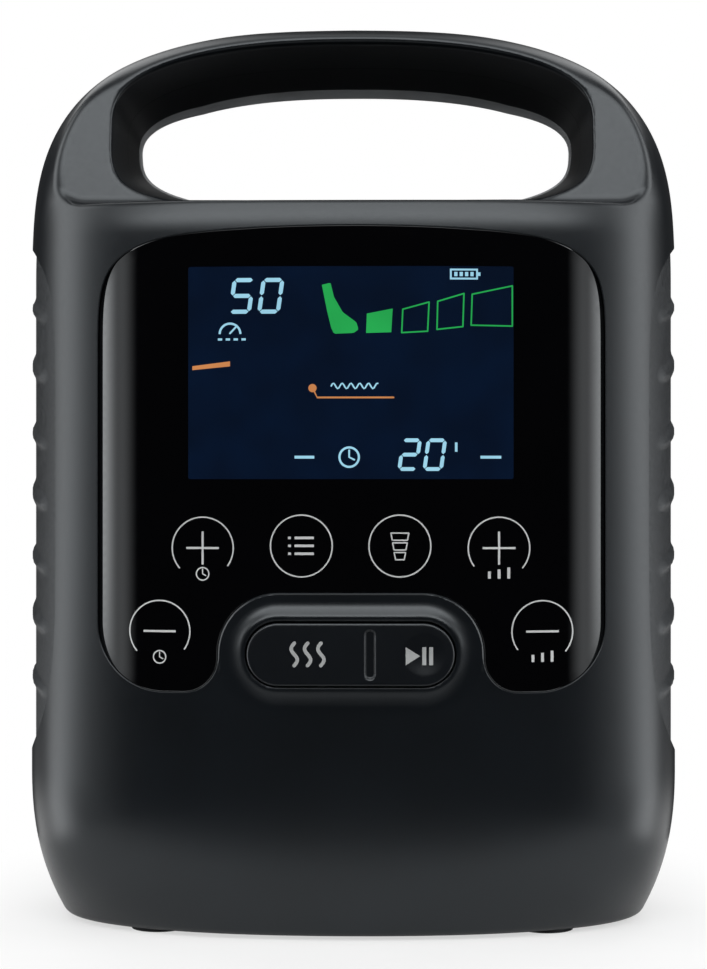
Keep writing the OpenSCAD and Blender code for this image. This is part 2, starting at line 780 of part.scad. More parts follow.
module socket_seals() color("firebrick") for (x = port_xs) difference() {
    rod_y(x, port_z, seal_r - 0.05, socket_back - port_depth - seal_t, socket_back - port_depth);
    rod_y(x, port_z, 1.7, manifold_y1, socket_back);
}

// ---------- valves ----------

module manifold_block() color(white_nylon) difference() {
    union() {
        block([-socket_half_w, manifold_y0, port_z - 11], [socket_half_w, manifold_y1, valve_seat]);
        rod_y(outlet_x, port_z - 4, nozzle_r, manifold_y0 - 8, manifold_y0);
        rod_y(sensor_x, sensor_z, 1.4, manifold_y0 - 6, manifold_y0);
    }
    for (x = port_xs) {
        rod_z(x, valve_y, 1.2, port_z - 5, valve_seat + 1);
        rod_y(x, port_z, 1.6, valve_y, manifold_y1 + 1);
    }
    rod_x(valve_y, port_z - 5, 1.2, -socket_half_w + 6, socket_half_w - 6);
    rod_y(outlet_x, port_z - 4, 1.2, manifold_y0 - 9, valve_y);
    rod_y(sensor_x, sensor_z, 0.7, manifold_y0 - 9, valve_y);
}

module valve_coil(i) color("saddlebrown") translate([port_xs[i - 1], valve_y, valve_seat]) difference() {
    union() {
        translate([-coil_w / 2, -coil_w / 2, 0]) cube([coil_w, coil_w, 2]);
        translate([-coil_w / 2, -coil_w / 2, coil_h - 2]) cube([coil_w, coil_w, 2]);
        cylinder(r = coil_r, h = coil_h);
        translate([-coil_w / 2, -5, 0]) cube([1.4, 10, coil_h]);
    }
    translate([0, 0, -1]) cylinder(r = plunger_r + plunger_play, h = 25);
}

module valve_plunger(i) color(steel) translate([port_xs[i - 1], valve_y, valve_seat + plunger_rest])
    cylinder(r = plunger_r, h = plunger_h);

// ---------- tubes ----------

// Quarter bend that starts upwards at the origin and ends towards +Y
module bend(r, bore, radius) translate([0, radius, 0]) rotate([90, 0, -90])
    rotate_extrude(angle = 90) translate([radius, 0]) difference() {
        circle(r);
        circle(bore);
    }

module supply_tube() color([0.8, 0.85, 0.88]) {
    bend_z = port_z - 4 - tube_bend;
    reach = manifold_y0 - 1 - shaft_y - tube_bend;
    difference() {
        rod_z(outlet_x, shaft_y, tube_r, head_top + 1, bend_z);
        rod_z(outlet_x, shaft_y, tube_bore + 0.05, head_top, bend_z + 1);
    }
    translate([outlet_x, shaft_y, bend_z]) bend(tube_r, tube_bore + 0.05, tube_bend);
    difference() {
        rod_y(outlet_x, port_z - 4, tube_r, shaft_y + tube_bend, shaft_y + tube_bend + reach);
        rod_y(outlet_x, port_z - 4, tube_bore + 0.05, shaft_y, manifold_y0 + 1);
    }
}

module sensor_tube() color([0.8, 0.85, 0.88]) difference() {
    rod_y(sensor_x, sensor_z, 2.4, main_y + main_t + 6, manifold_y0 - 1);
    rod_y(sensor_x, sensor_z, 1.45, main_y, manifold_y0);
}

// ---------- pump ----------

case_xs = [case_x0 + screw_inset, case_x1 - screw_inset];
case_ys = [shaft_y - case_half_d + screw_inset, shaft_y + case_half_d - screw_inset];

module pump_mounts() color(rubber) for (x = mount_xs, y = [shaft_y - mount_half_d, shaft_y + mount_half_d])
    difference() {
        rod_z(x, y, 5, base_z + wall, base_z + wall + mount_h);
        rod_z(x, y, 1.5, 0, base_z + wall + mount_h + 1);
    }

module pump_cradle() color(steel) {
    low = base_z + wall + mount_h;
    block([mount_xs[0] - 5, shaft_y - mount_half_d - 5, low],
        [mount_xs[1] + 8, shaft_y + mount_half_d + 5, low + cradle_t]);
    difference() {
        block([-60, shaft_y - 14, low + cradle_t], [-28, shaft_y + 14, shaft_z - 8]);
        rod_x(shaft_y, shaft_z, motor_r + 0.05, -70, 0);
    }
    block([case_x0, shaft_y - 15, low + cradle_t], [case_x1, shaft_y + 15, case_low]);
}

module pump_motor() color(steel) {
    difference() {
        union() {
            rod_x(shaft_y, shaft_z, motor_r, motor_x0, motor_x1);
            rod_x(shaft_y, shaft_z, 6, motor_x1, case_x0);
        }
        rod_x(shaft_y, shaft_z, shaft_r + 0.05, motor_x0 + 6, case_x0 + 1);
    }
    for (s = [-1, 1]) block([motor_x0 - 4, shaft_y + s * 8 - 1.5, shaft_z - 0.4],
        [motor_x0, shaft_y + s * 8 + 1.5, shaft_z + 0.4]);
}

module crankcase() color("gray") difference() {
    block([case_x0, shaft_y - case_half_d, case_low], [case_x1, shaft_y + case_half_d, case_top]);
    rod_x(shaft_y, shaft_z, 15, case_x0 + 3, case_x1 - 2.4);
    rod_z(pump_x, shaft_y, 13.5, shaft_z, case_top + 1);
    rod_x(shaft_y, shaft_z, shaft_r + 0.05, case_x0 - 1, case_x0 + 4);
    for (x = case_xs, y = case_ys) rod_z(x, y, 1.3, case_top - screw_bite - 1, case_top + 1);
}

module crankshaft() color(steel) {
    rod_x(shaft_y, shaft_z, shaft_r, motor_x0 + 8, rod_x0 - 1);
    rod_x(shaft_y, shaft_z, 8, rod_x0 - 7, rod_x0 - 1);
    rod_x(shaft_y, shaft_z + throw, crank_pin_r, rod_x0 - 1, rod_x0 + rod_w);
}

module crank_bearing() color(steel) difference() {
    rod_x(shaft_y, shaft_z + throw, bearing_r, rod_x0, rod_x0 + rod_w);
    rod_x(shaft_y, shaft_z + throw, crank_pin_r + 0.03, rod_x0 - 1, rod_x0 + rod_w + 1);
}

module connecting_rod() color(white_nylon) difference() {
    union() {
        rod_x(shaft_y, shaft_z + throw, bearing_r + 2.4, rod_x0, rod_x0 + rod_w);
        block([rod_x0, shaft_y - 3, shaft_z + throw + bearing_r],
            [rod_x0 + rod_w, shaft_y + 3, case_top - 3]);
        rod_z(pump_x, shaft_y, 7, case_top - 3, case_top);
    }
    rod_x(shaft_y, shaft_z + throw, bearing_r, rod_x0 - 1, rod_x0 + rod_w + 1);
}

module diaphragm() color(rubber) difference() {
    rod_z(pump_x, shaft_y, membrane_r, case_top, case_top + membrane_t);
    rod_z(pump_x, shaft_y, 1.6, case_top - 1, case_top + 3);
}

module diaphragm_clamp() color(steel) {
    rod_z(pump_x, shaft_y, 6.5, case_top + membrane_t, case_top + membrane_t + 1.5);
    rod_z(pump_x, shaft_y, 1.5, case_top, case_top + membrane_t);
}

module pump_block(z0, z1) block([case_x0, shaft_y - case_half_d, z0], [case_x1, shaft_y + case_half_d, z1]);

module valve_plate() color(white_nylon) difference() {
    pump_block(plate_low, head_low);
    rod_z(pump_x, shaft_y, 13.5, plate_low - 1, plate_low + 3.4);
    for (s = [-1, 1]) rod_z(pump_x + s * 8, shaft_y, 1.8, plate_low, head_low + 1);
    for (x = case_xs, y = case_ys) rod_z(x, y, 1.5, plate_low - 1, head_low + 1);
}

module pump_head() color("gray") difference() {
    union() {
        pump_block(head_low, head_top);
        for (s = [-1, 1]) rod_z(pump_x + s * 8, shaft_y, nozzle_r, head_top, head_top + 9);
    }
    for (s = [-1, 1]) rod_z(pump_x + s * 8, shaft_y, 1.2, head_low - 1, head_top + 10);
    for (x = case_xs, y = case_ys) rod_z(x, y, 1.5, head_low - 1, head_top + 1);
}

module pump_screws() color(steel) for (x = case_xs, y = case_ys) {
    rod_z(x, y, 1.25, case_top - screw_bite, head_top);
    rod_z(x, y, 2.4, head_top, head_top + 2);
}

front_shell();
rear_shell();
side_grip(-1);  // side_grip_left
side_grip(1);  // side_grip_right
control_panel();
panel_tape();
rocker_key();
key_pivot_pin();
key_board();
tact_switches();
display_glass();
light_guide();
display_frame();
display_carrier();
touch_film();
ribbon_cable();
main_board();
board_components();
pressure_sensor();
small_screws();
battery_cells();
battery_tray();
battery_cover();
battery_screws();
feet();
housing_screws();
dc_jack();
heater_socket();
power_switch();
power_rocker();
filter_cover();
filter_foam();
hose_socket();
socket_seals();
manifold_block();
supply_tube();
sensor_tube();
valve_coil(1);  // valve_coil_1
valve_coil(2);  // valve_coil_2
valve_coil(3);  // valve_coil_3
valve_coil(4);  // valve_coil_4
valve_coil(5);  // valve_coil_5
valve_plunger(1);  // valve_plunger_1
valve_plunger(2);  // valve_plunger_2
valve_plunger(3);  // valve_plunger_3
valve_plunger(4);  // valve_plunger_4
valve_plunger(5);  // valve_plunger_5
pump_cradle();
pump_mounts();
pump_motor();
crankcase();
crankshaft();
crank_bearing();
connecting_rod();
diaphragm();
diaphragm_clamp();
valve_plate();
pump_head();
pump_screws();
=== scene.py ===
"""Compression therapy pump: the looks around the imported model.

Shapes are worked out in millimetres, in the model's own frame, and written to meshes in metres.
"""
import json
import math

import bmesh
import bpy
import numpy as np
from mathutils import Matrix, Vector
from mathutils.geometry import delaunay_2d_cdt


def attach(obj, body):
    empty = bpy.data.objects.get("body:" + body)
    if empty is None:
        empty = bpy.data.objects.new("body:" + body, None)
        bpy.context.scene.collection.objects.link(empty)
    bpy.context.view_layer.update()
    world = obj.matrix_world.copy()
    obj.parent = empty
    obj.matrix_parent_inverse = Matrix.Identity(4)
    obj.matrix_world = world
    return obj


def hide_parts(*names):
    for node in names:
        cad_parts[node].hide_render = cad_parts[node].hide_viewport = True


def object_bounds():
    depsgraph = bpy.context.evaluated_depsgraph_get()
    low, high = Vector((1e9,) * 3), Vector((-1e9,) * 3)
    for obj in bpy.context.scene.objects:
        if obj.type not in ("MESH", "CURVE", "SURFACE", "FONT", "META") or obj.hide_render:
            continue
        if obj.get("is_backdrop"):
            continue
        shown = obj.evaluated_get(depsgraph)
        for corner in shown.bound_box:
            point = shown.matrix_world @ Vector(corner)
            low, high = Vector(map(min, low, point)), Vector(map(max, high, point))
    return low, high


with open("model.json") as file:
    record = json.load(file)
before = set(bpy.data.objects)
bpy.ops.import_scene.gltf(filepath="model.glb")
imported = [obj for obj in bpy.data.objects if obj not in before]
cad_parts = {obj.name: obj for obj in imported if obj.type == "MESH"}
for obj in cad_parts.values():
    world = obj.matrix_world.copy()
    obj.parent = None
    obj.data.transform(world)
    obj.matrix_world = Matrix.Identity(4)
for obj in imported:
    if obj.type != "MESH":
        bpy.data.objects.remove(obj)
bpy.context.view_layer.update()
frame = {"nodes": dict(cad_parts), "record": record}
MM = 0.001
HOUSING = "housing"

# ---------- measures of the housing ----------

HALF_W, HALF_D = 95.4, 51.5
BASE, TOP = 1.1, 263.7
PLAN_POWER, BASE_POWER = 3.0, 2.2
TAPER_TOP, TAPER_SIDE, TAPER_FACE, TAPER_POWER = 46.0, 9.5, 7.5, 2.4
ARCH_Z, ARCH_POWER = 200.5, 2.8
SHOULDER, SHELF_R = 208.5, 2.4
LEAN_Y, LEAN_Z, LEAN = -30.3, 222.4, 4.6
CROWN_Z, CROWN = 180.0, 1.1
BROW_Z, BROW = 198.8, 1.6
WAIST = 2.1
ROLL_Z, ROLL_H, ROLL_POWER = 190.0, 76.0, 2.35
TUNNEL_Z = 233.0
PART_Y = 4.0
SEAM = 0.07

# front panel, display and keys
PANEL_W, PANEL_TOP, PANEL_LOW = 71.4, 200.6, 70.7
LOBE_R, LOBE_INNER_R, CROWN_R = 19.0, 9.5, 540.0
CORNER_X, CORNER_Z, CORNER_POWER = 25.0, 160.0, 4.9
POD_Z, POD_R, POD_RISE = 81.3, 17.2, 2.0
KEY_R, KEY_CX, KEY_GAP = 8.8, 20.1, 0.5
CREST, RIM_R, POD_STEP = 10.6, 14.8, 0.3
LCD_Z, LCD_HALF_W, LCD_HALF_H = 159.6, 45.35, 29.6
RING_R, RING_LINE = 8.6, 0.38

# side grips
GRIP_Z, GRIP_HALF_H, GRIP_HALF_D = 124.0, 74.0, 34.0
GRIP_POWER, GRIP_TOP_POWER, GRIP_LOW_POWER = 3.2, 8.0, 5.0
GRIP_SINK, POCKET = 1.2, 3.3

# rear face
BOSSES = [(x, z) for away, z in ((74, 64), (76, 126), (72, 194)) for x in (-away, away)]
PORT_Z, JACK_X, HEATER_X, JACK_Z, ROCKER_X = 150.0, -46.0, -24.0, 78.0, 36.0
FILTER_X, FILTER_Z, VENT_X, VENT_Z = -34.0, 111.0, 36.0, 111.0


# ---------- shape of the housing, as a distance that is negative inside ----------

def smooth_max(a, b, r):
    width = 1.17 * r
    h = np.maximum(width - np.abs(a - b), 0)
    return np.maximum(a, b) + h * h / (4 * width)


def smooth_min(a, b, r):
    return -smooth_max(-a, -b, r)


def step(v, low, high):
    t = np.clip((v - low) / (high - low), 0, 1)
    return t * t * (3 - 2 * t)


def body_skin(x, y, z):
    """Rounded plan that draws in towards the base and closes over the handle."""
    drawn = np.clip((TAPER_TOP - z) / (TAPER_TOP - BASE), 0, 1.1) ** TAPER_POWER
    a, b = HALF_W - TAPER_SIDE * drawn, HALF_D - TAPER_FACE * drawn
    n = PLAN_POWER + (BASE_POWER - PLAN_POWER) * np.minimum(drawn, 1)
    across, deep = np.abs(x) / a + 1e-6, np.abs(y) / b + 1e-6
    rise = np.maximum(z - ARCH_Z, 0) / (TOP - ARCH_Z)
    rho = (across ** ARCH_POWER + rise ** ARCH_POWER) ** (1 / ARCH_POWER)
    g = (rho ** n + deep ** n) ** (1 / n)
    to_rho = (rho / g) ** (n - 1)
    slope_x = to_rho * (across / rho) ** (ARCH_POWER - 1) / a
    slope_z = to_rho * (rise / rho) ** (ARCH_POWER - 1) / (TOP - ARCH_Z)
    slope_y = (deep / g) ** (n - 1) / b
    crown = CROWN * np.clip((z - CROWN_Z) / (SHOULDER - CROWN_Z), 0, 1.05) ** 2
    brow = BROW * np.clip((z - BROW_Z) / (SHOULDER - BROW_Z), 0, 1.05) ** 2
    front = step(-y, 26, 46) * (1 - step(z, 209, 224))
    waist = WAIST * step(z, 188, 240) * (0.2 + 0.8 * np.minimum(across, 1) ** 1.2)
    return (g - 1) / np.sqrt(slope_x ** 2 + slope_y ** 2 + slope_z ** 2) + waist + (crown + brow) * front


def rear_roll(y, z):
    """How the back of the handle rolls over to its top."""
    deep, rise = np.maximum(y, 0) / HALF_D + 1e-6, np.maximum(z - ROLL_Z, 0) / ROLL_H
    g = (deep ** ROLL_POWER + rise ** ROLL_POWER) ** (1 / ROLL_POWER)
    slope_y = (deep / g) ** (ROLL_POWER - 1) / HALF_D
    slope_z = (rise / g) ** (ROLL_POWER - 1) / ROLL_H
    return (g - 1) / np.sqrt(slope_y ** 2 + slope_z ** 2)


def tunnel(x, y, z):
    """The hand opening: it narrows and its floor rises a little towards the rear."""
    back = np.clip((y + 25) / 67, -0.3, 1.2)
    half = 69.2 - 1.6 * back
    middle = TUNNEL_Z - np.clip(back, 0, 1)
    top = 257.7 - 7.0 * np.clip((y + 22) / 56, -0.2, 1.3)
    floor = SHOULDER + 6.7 * np.clip(back, 0, 1.2)
    upper = z > middle
    n = np.where(upper, 2.4, 4.5 - 1.8 * np.clip(back, 0, 1))
    high = np.where(upper, top - middle, middle - floor)
    across, up = np.abs(x) / half + 1e-6, np.abs(z - middle) / high + 1e-6
    g = (across ** n + up ** n) ** (1 / n)
    slope = np.sqrt(((across / g) ** (n - 1) / half) ** 2 + ((up / g) ** (n - 1) / high) ** 2)
    return (g - 1) / slope


def pod_height(x, z):
    """How far the pod's rim stands out at a distance from the pill key's axis."""
    d = np.hypot(np.maximum(np.abs(x) - KEY_CX, 0), z - POD_Z)
    ledge = POD_STEP * step(POD_R + 0.2 - d, 0, 0.7) * step(z, 66, 88)
    rim = (POD_RISE - POD_STEP) * np.clip((RIM_R - d) / (RIM_R - CREST), 0, 1.2) ** 2
    rim = rim * (0.6 + 0.4 * step(z, POD_Z - 2, POD_Z + 8))
    inner = POD_RISE - 0.45 * (CREST - 0.3 - d)
    outer = ledge + rim + (POD_STEP - ledge) * step(RIM_R + 2 - d, 0, 6)
    return np.maximum(smooth_min(outer, inner, 0.9), -1.0)


def housing(x, y, z):
    """The whole outer shape: skin, brow and shelf, rolled back, base, hand opening and pod."""
    shelf = z - SHOULDER - 7.0 * np.clip((np.abs(x) - 76) / 12, 0, 1.3) ** 2
    lean = (LEAN_Y + (z - LEAN_Z) / LEAN - y) * LEAN / math.hypot(1, LEAN)
    upper = smooth_min(shelf, lean, SHELF_R)
    brim = 1.4 + 7.5 * step(z, 236, 259)
    lip = 1.1 + 1.4 * step(z, 236, 256) + 1.5 * step(y, 10, 30)
    d = body_skin(x, y, z)
    for other, r in ((upper, brim), (rear_roll(y, z), 5), (BASE - z, 1.6), (-tunnel(x, y, z), lip)):
        d = smooth_max(d, other, r)
    return d - np.where(y < -30, pod_height(x, z), 0)


def onto(skin, v):
    """Moves a coordinate until the skin's distance is zero there."""
    for _ in range(14):
        d = skin(v)
        v = v - d / ((skin(v + 0.01) - d) / 0.01)
    return v


def face(x, z, depth=0.0, side=-1):
    """Y of the front (side -1) or rear (side 1) skin, or of a level below it."""
    x, z = np.asarray(x, float), np.asarray(z, float)
    return onto(lambda y: body_skin(x, y, z) + depth, np.full(x.shape, side * (HALF_D - 4)))


def flank(y, z, depth=0.0, side=1):
    """X of the skin of one side, or of a level below it."""
    y, z = np.asarray(y, float), np.asarray(z, float)
    return onto(lambda x: body_skin(x, y, z) + depth, np.full(y.shape, side * (HALF_W - 8)))


# ---------- meshing ----------

def make_object(name, points, faces, materials=()):
    mesh = bpy.data.meshes.new(name)
    mesh.from_pydata((np.asarray(points, float) * MM).tolist(), [], [list(f) for f in faces])
    mesh.validate()
    obj = bpy.data.objects.new(name, mesh)
    bpy.context.scene.collection.objects.link(obj)
    for material in materials:
        mesh.materials.append(material)
    return obj


CORNERS = [np.array([i & 1, i >> 1 & 1, i >> 2 & 1]) for i in range(8)]
EVENINGS = 3
EDGES = [(a, b) for a in CORNERS for b in CORNERS if (b - a).sum() == 1 and (b - a).min() >= 0]


def surface_net(name, field, xs, ys, zs):
    """An object on the surface where the field is zero, with every corner drawn onto it."""
    axes = [xs, ys, zs]
    gx, gy = np.meshgrid(xs, ys, indexing="ij")
    values = np.stack([field(gx, gy, np.full(gx.shape, z)) for z in zs], axis=2)
    inside = values < 0
    shape = np.array(values.shape) - 1

    def corner(array, c):
        return array[c[0]:c[0] + shape[0], c[1]:c[1] + shape[1], c[2]:c[2] + shape[2]]

    count = sum(corner(inside, c).astype(np.int8) for c in CORNERS)
    active = (count > 0) & (count < 8)
    cells = np.argwhere(active)
    number = np.full(active.shape, -1, np.int64)
    number[active] = np.arange(len(cells))
    total, hits = np.zeros((len(cells), 3)), np.zeros(len(cells))
    for a, b in EDGES:
        start, end = cells + a, cells + b
        va, vb = values[tuple(start.T)], values[tuple(end.T)]
        crossed = (va < 0) != (vb < 0)
        t = (va / np.where(crossed, va - vb, 1))[crossed, None]
        first = np.stack([axes[i][start[crossed, i]] for i in range(3)], 1)
        last = np.stack([axes[i][end[crossed, i]] for i in range(3)], 1)
        total[crossed] += first + (last - first) * t
        hits[crossed] += 1
    points = total / hits[:, None]
    quads = []
    for axis in range(3):
        u, v = [i for i in range(3) if i != axis]
        low = [slice(1, -1)] * 3
        low[axis] = slice(0, -1)
        high = list(low)
        high[axis] = slice(1, None)
        below, above = inside[tuple(low)], inside[tuple(high)]
        at = np.argwhere(below != above)
        out = below[tuple(at.T)]
        at[:, [u, v]] += 1
        ring = []
        for du, dv in ((-1, -1), (0, -1), (0, 0), (-1, 0)):
            cell = at.copy()
            cell[:, u] += du
            cell[:, v] += dv
            ring.append(number[tuple(cell.T)])
        ring = np.stack(ring, 1)
        if axis == 1:
            out = ~out
        ring[~out] = ring[~out][:, ::-1]
        quads.append(ring)
    quads = np.concatenate(quads)
    return make_object(name, settle(field, points, quads), quads)


def gradient(field, p):
    columns, h = [], 0.02
    for i in range(3):
        up, down = p.copy(), p.copy()
        up[:, i] += h
        down[:, i] -= h
        columns.append((field(*up.T) - field(*down.T)) / (2 * h))
    return np.stack(columns, 1)


def settle(field, points, quads):
    """Evens out the corners along the surface, then draws them back onto it."""
    pairs = np.concatenate([quads[:, [i, (i + 1) % 4]] for i in range(4)])
    ends = np.concatenate([pairs[:, 0], pairs[:, 1]])
    others = np.concatenate([pairs[:, 1], pairs[:, 0]])
    weight = np.bincount(ends, minlength=len(points))[:, None]
    for i in range(EVENINGS + 2):
        if i < EVENINGS:
            mean = np.stack([np.bincount(ends, points[others, k], len(points)) for k in range(3)], 1) / weight
            points = points + 0.5 * (mean - points)
        slope = gradient(field, points)
        move = field(*points.T)[:, None] * slope / np.maximum((slope ** 2).sum(1), 0.1)[:, None]
        points = points - np.clip(move, -1, 1)
    return points


def spaced(stops):
    """Grid positions through stops of (position, spacing up to it)."""
    made = [np.array([stops[0][0]], float)]
    for (low, _), (high, gap) in zip(stops, stops[1:]):
        made.append(np.linspace(low, high, max(1, round((high - low) / gap)) + 1)[1:])
    return np.concatenate(made)


def carve(target, cutter, operation="DIFFERENCE"):
    """Applies a boolean with a cutting solid, which is then removed."""
    modifier = target.modifiers.new("carve", "BOOLEAN")
    modifier.solver = "MANIFOLD"
    modifier.operation = operation
    modifier.object = cutter
    bpy.context.view_layer.update()
    made = bpy.data.meshes.new_from_object(target.evaluated_get(bpy.context.evaluated_depsgraph_get()))
    if len(made.polygons) < 4:
        raise RuntimeError("the cut left nothing of " + target.name)
    made.materials.clear()
    made.polygons.foreach_set("material_index", [0] * len(made.polygons))
    target.modifiers.clear()
    target.data = made
    bpy.data.objects.remove(cutter)
    return target


def box_cutter(low, high):
    corners = [[(low, high)[i >> k & 1][k] for k in range(3)] for i in range(8)]
    faces = [(0, 2, 3, 1), (4, 5, 7, 6), (0, 1, 5, 4), (2, 6, 7, 3), (0, 4, 6, 2), (1, 3, 7, 5)]
    return make_object("cutter", corners, faces)


def finish_mesh(obj, body=HOUSING, replaces=(), sharp=38):
    obj.data.shade_smooth()
    obj.data.set_sharp_from_angle(angle=math.radians(sharp))
    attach(obj, body)
    if replaces:
        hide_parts(*replaces)
    return obj


def read(items, name, width, kind=float):
    values = np.empty(len(items) * width, kind)
    items.foreach_get(name, values)
    return values.reshape(-1, width) if width > 1 else values


def true_normals(obj, field):
    """Takes the shading normals of the outer skin from the field that shaped it."""
    mesh = obj.data
    points = read(mesh.vertices, "co", 3) / MM
    slope = gradient(field, points)
    slope /= np.maximum(np.linalg.norm(slope, axis=1), 1e-6)[:, None]
    on_skin = np.abs(field(*points.T)) < 0.06
    corners = read(mesh.loops, "vertex_index", 1, np.int64)
    normals = read(mesh.corner_normals, "vector", 3)
    sizes = read(mesh.polygons, "loop_total", 1, np.int64)
    flat = np.repeat(read(mesh.polygon_normals, "vector", 3), sizes, axis=0)
    use = on_skin[corners] & ((flat * slope[corners]).sum(1) > 0.8)
    normals[use] = slope[corners][use]
    mesh.normals_split_custom_set(normals.tolist())


def inside_polygon(points, loop):
    x, y = points.T[:, :, None]
    ax, ay = loop.T[:, None]
    bx, by = np.roll(loop, -1, axis=0).T[:, None]
    with np.errstate(divide="ignore", invalid="ignore"):
        crosses = ((ay > y) != (by > y)) & (x < (bx - ax) * (y - ay) / (by - ay) + ax)
    return crosses.sum(1) % 2 == 1


def distance_to_loop(points, loop):
    best = np.full(len(points), 1e9)
    for a, b in zip(loop, np.roll(loop, -1, axis=0)):
        span = b - a
        t = np.clip(((points - a) @ span) / max(span @ span, 1e-12), 0, 1)
        best = np.minimum(best, np.hypot(*(points - a - t[:, None] * span).T))
    return best


def fill(loop, spacing):
    """Triangles inside a loop, whose points come first, with inner points on a grid."""
    loop = np.asarray(loop, float)
    low, high = loop.min(0), loop.max(0)
    inner = np.zeros((0, 2))
    if spacing:
        us = np.arange(low[0] + spacing / 2, high[0], spacing)
        vs = np.arange(low[1] + spacing / 2, high[1], spacing * 0.866)
        grid = np.array([(u + (k % 2) * spacing / 2, v) for k, v in enumerate(vs) for u in us])
        if len(grid):
            grid = grid[inside_polygon(grid, loop)]
            inner = grid[distance_to_loop(grid, loop) > spacing * 0.55]
    points = np.concatenate([loop, inner])
    ring = [(i, (i + 1) % len(loop)) for i in range(len(loop))]
    made = delaunay_2d_cdt([Vector(p) for p in points], ring, [], 1, 1e-6)
    where = [sources[0] if sources else -1 for sources in made[3]]
    if len(made[0]) != len(points) or -1 in where:
        raise RuntimeError("an outline crosses itself")
    triangles = np.array([[where[i] for i in f] for f in made[2]])
    a, b, c = (points[triangles[:, i]] for i in range(3))
    flipped = (b[:, 0] - a[:, 0]) * (c[:, 1] - a[:, 1]) - (b[:, 1] - a[:, 1]) * (c[:, 0] - a[:, 0]) < 0
    triangles[flipped] = triangles[flipped][:, ::-1]
    return points, triangles


def slab(outline, layers, place, spacing=None, relief=None):
    """Closed solid whose layers of (grow, depth) run from its outer cap to its inner cap.

    The outline is a function of how far it grows, anticlockwise as seen from outside.
    """
    first, last = layers[0], layers[-1]
    points2, front = fill(outline(first[0]), spacing)
    size = len(outline(first[0]))
    depth = np.full(len(points2), float(first[1]))
    if relief is not None:
        depth[size:] -= relief(points2[size:])
    points = [place(points2, depth)]
    faces = [front]
    start = 0
    for grow, level in layers[1:-1]:
        ring = np.asarray(outline(grow))
        index = sum(len(p) for p in points)
        points.append(place(ring, np.full(size, float(level))))
        faces.append(band(start, index, size))
        start = index
    points2, back = fill(outline(last[0]), spacing)
    index = sum(len(p) for p in points)
    points.append(place(points2, np.full(len(points2), float(last[1]))))
    faces.append(band(start, index, size))
    faces.append(back[:, ::-1] + index)
    return np.concatenate(points), [tuple(f) for group in faces for f in group]


def plate(name, outline, layers, place, spacing=None, relief=None, materials=()):
    return make_object(name, *slab(outline, layers, place, spacing, relief), materials)


def merged(parts):
    points, faces, start = [], [], 0
    for p, f in parts:
        points.append(p)
        faces += [tuple(i + start for i in one) for one in f]
        start += len(p)
    return np.concatenate(points), faces


def turned(profile, centre, axis):
    """Closed solid of revolution from (radius, position) pairs along an axis through a centre."""
    count = 40
    u, v = [i for i in range(3) if i != axis]
    if axis == 1:
        u, v = v, u
    t = np.arange(count) * 2 * math.pi / count
    rings, faces = [], []
    for r, along in profile:
        ring = np.tile(np.asarray(centre, float), (count, 1))
        ring[:, u] += r * np.cos(t)
        ring[:, v] += r * np.sin(t)
        ring[:, axis] = along
        rings.append(ring)
    for i in range(len(profile) - 1):
        faces += [tuple(f) for f in band(i * count, (i + 1) * count, count)[:, ::-1]]
    faces.append(tuple(range(count))[::-1])
    faces.append(tuple(range((len(profile) - 1) * count, len(profile) * count)))
    return np.concatenate(rings), faces


def area(loop):
    x, y = loop.T
    return (x * np.roll(y, -1) - np.roll(x, -1) * y).sum() / 2


def close_set(loop, gap):
    """The same loop with points added along its longer edges."""
    made = []
    for a, b in zip(loop, np.roll(loop, -1, axis=0)):
        count = max(1, math.ceil(np.hypot(*(b - a)) / gap))
        made += [a + (b - a) * i / count for i in range(count)]
    return np.array(made)


def printed(name, loops, place, material, proud=0.04, spacing=None, body=HOUSING):
    """Thin prints that stand a hair above the surface that carries them."""
    parts = []
    for loop in loops:
        loop = close_set(np.asarray(loop, float), 0.9)
        loop = loop if area(loop) > 0 else loop[::-1]
        parts.append(slab(lambda grow, loop=loop: loop, [(0, -proud), (0, 0.06)], place, spacing))
    return finish_mesh(make_object(name, *merged(parts), [material]), body, sharp=60)


def band(first, second, size):
    near = np.arange(size)
    far = np.roll(near, -1)
    return np.stack([near + first, near + second, far + second, far + first], 1)


def on_front(points, depth):
    return np.stack([points[:, 0], face(points[:, 0], points[:, 1], depth), points[:, 1]], 1)


def on_rear(points, depth):
    """Rear outlines are drawn as seen from behind, so their first axis runs along -X."""
    return np.stack([-points[:, 0], face(-points[:, 0], points[:, 1], depth, 1), points[:, 1]], 1)


def on_right(points, depth):
    return np.stack([flank(points[:, 0], points[:, 1], depth), points[:, 0], points[:, 1]], 1)


def on_left(points, depth):
    return np.stack([flank(-points[:, 0], points[:, 1], depth, -1), -points[:, 0], points[:, 1]], 1)


# ---------- outlines ----------

def arc(cx, cz, r, start, end, count):
    t = np.radians(np.linspace(start, end, count))
    return np.stack([cx + r * np.cos(t), cz + r * np.sin(t)], 1)


def pill_outline(grow):
    r = KEY_R + grow
    straight = np.linspace(1, -1, 16)[1:-1, None] * [KEY_CX, 0]
    return np.concatenate([arc(KEY_CX, POD_Z, r, -90, 90, 40), straight + [0, POD_Z + r],
                           arc(-KEY_CX, POD_Z, r, 90, 270, 40), [0, POD_Z - r] - straight])


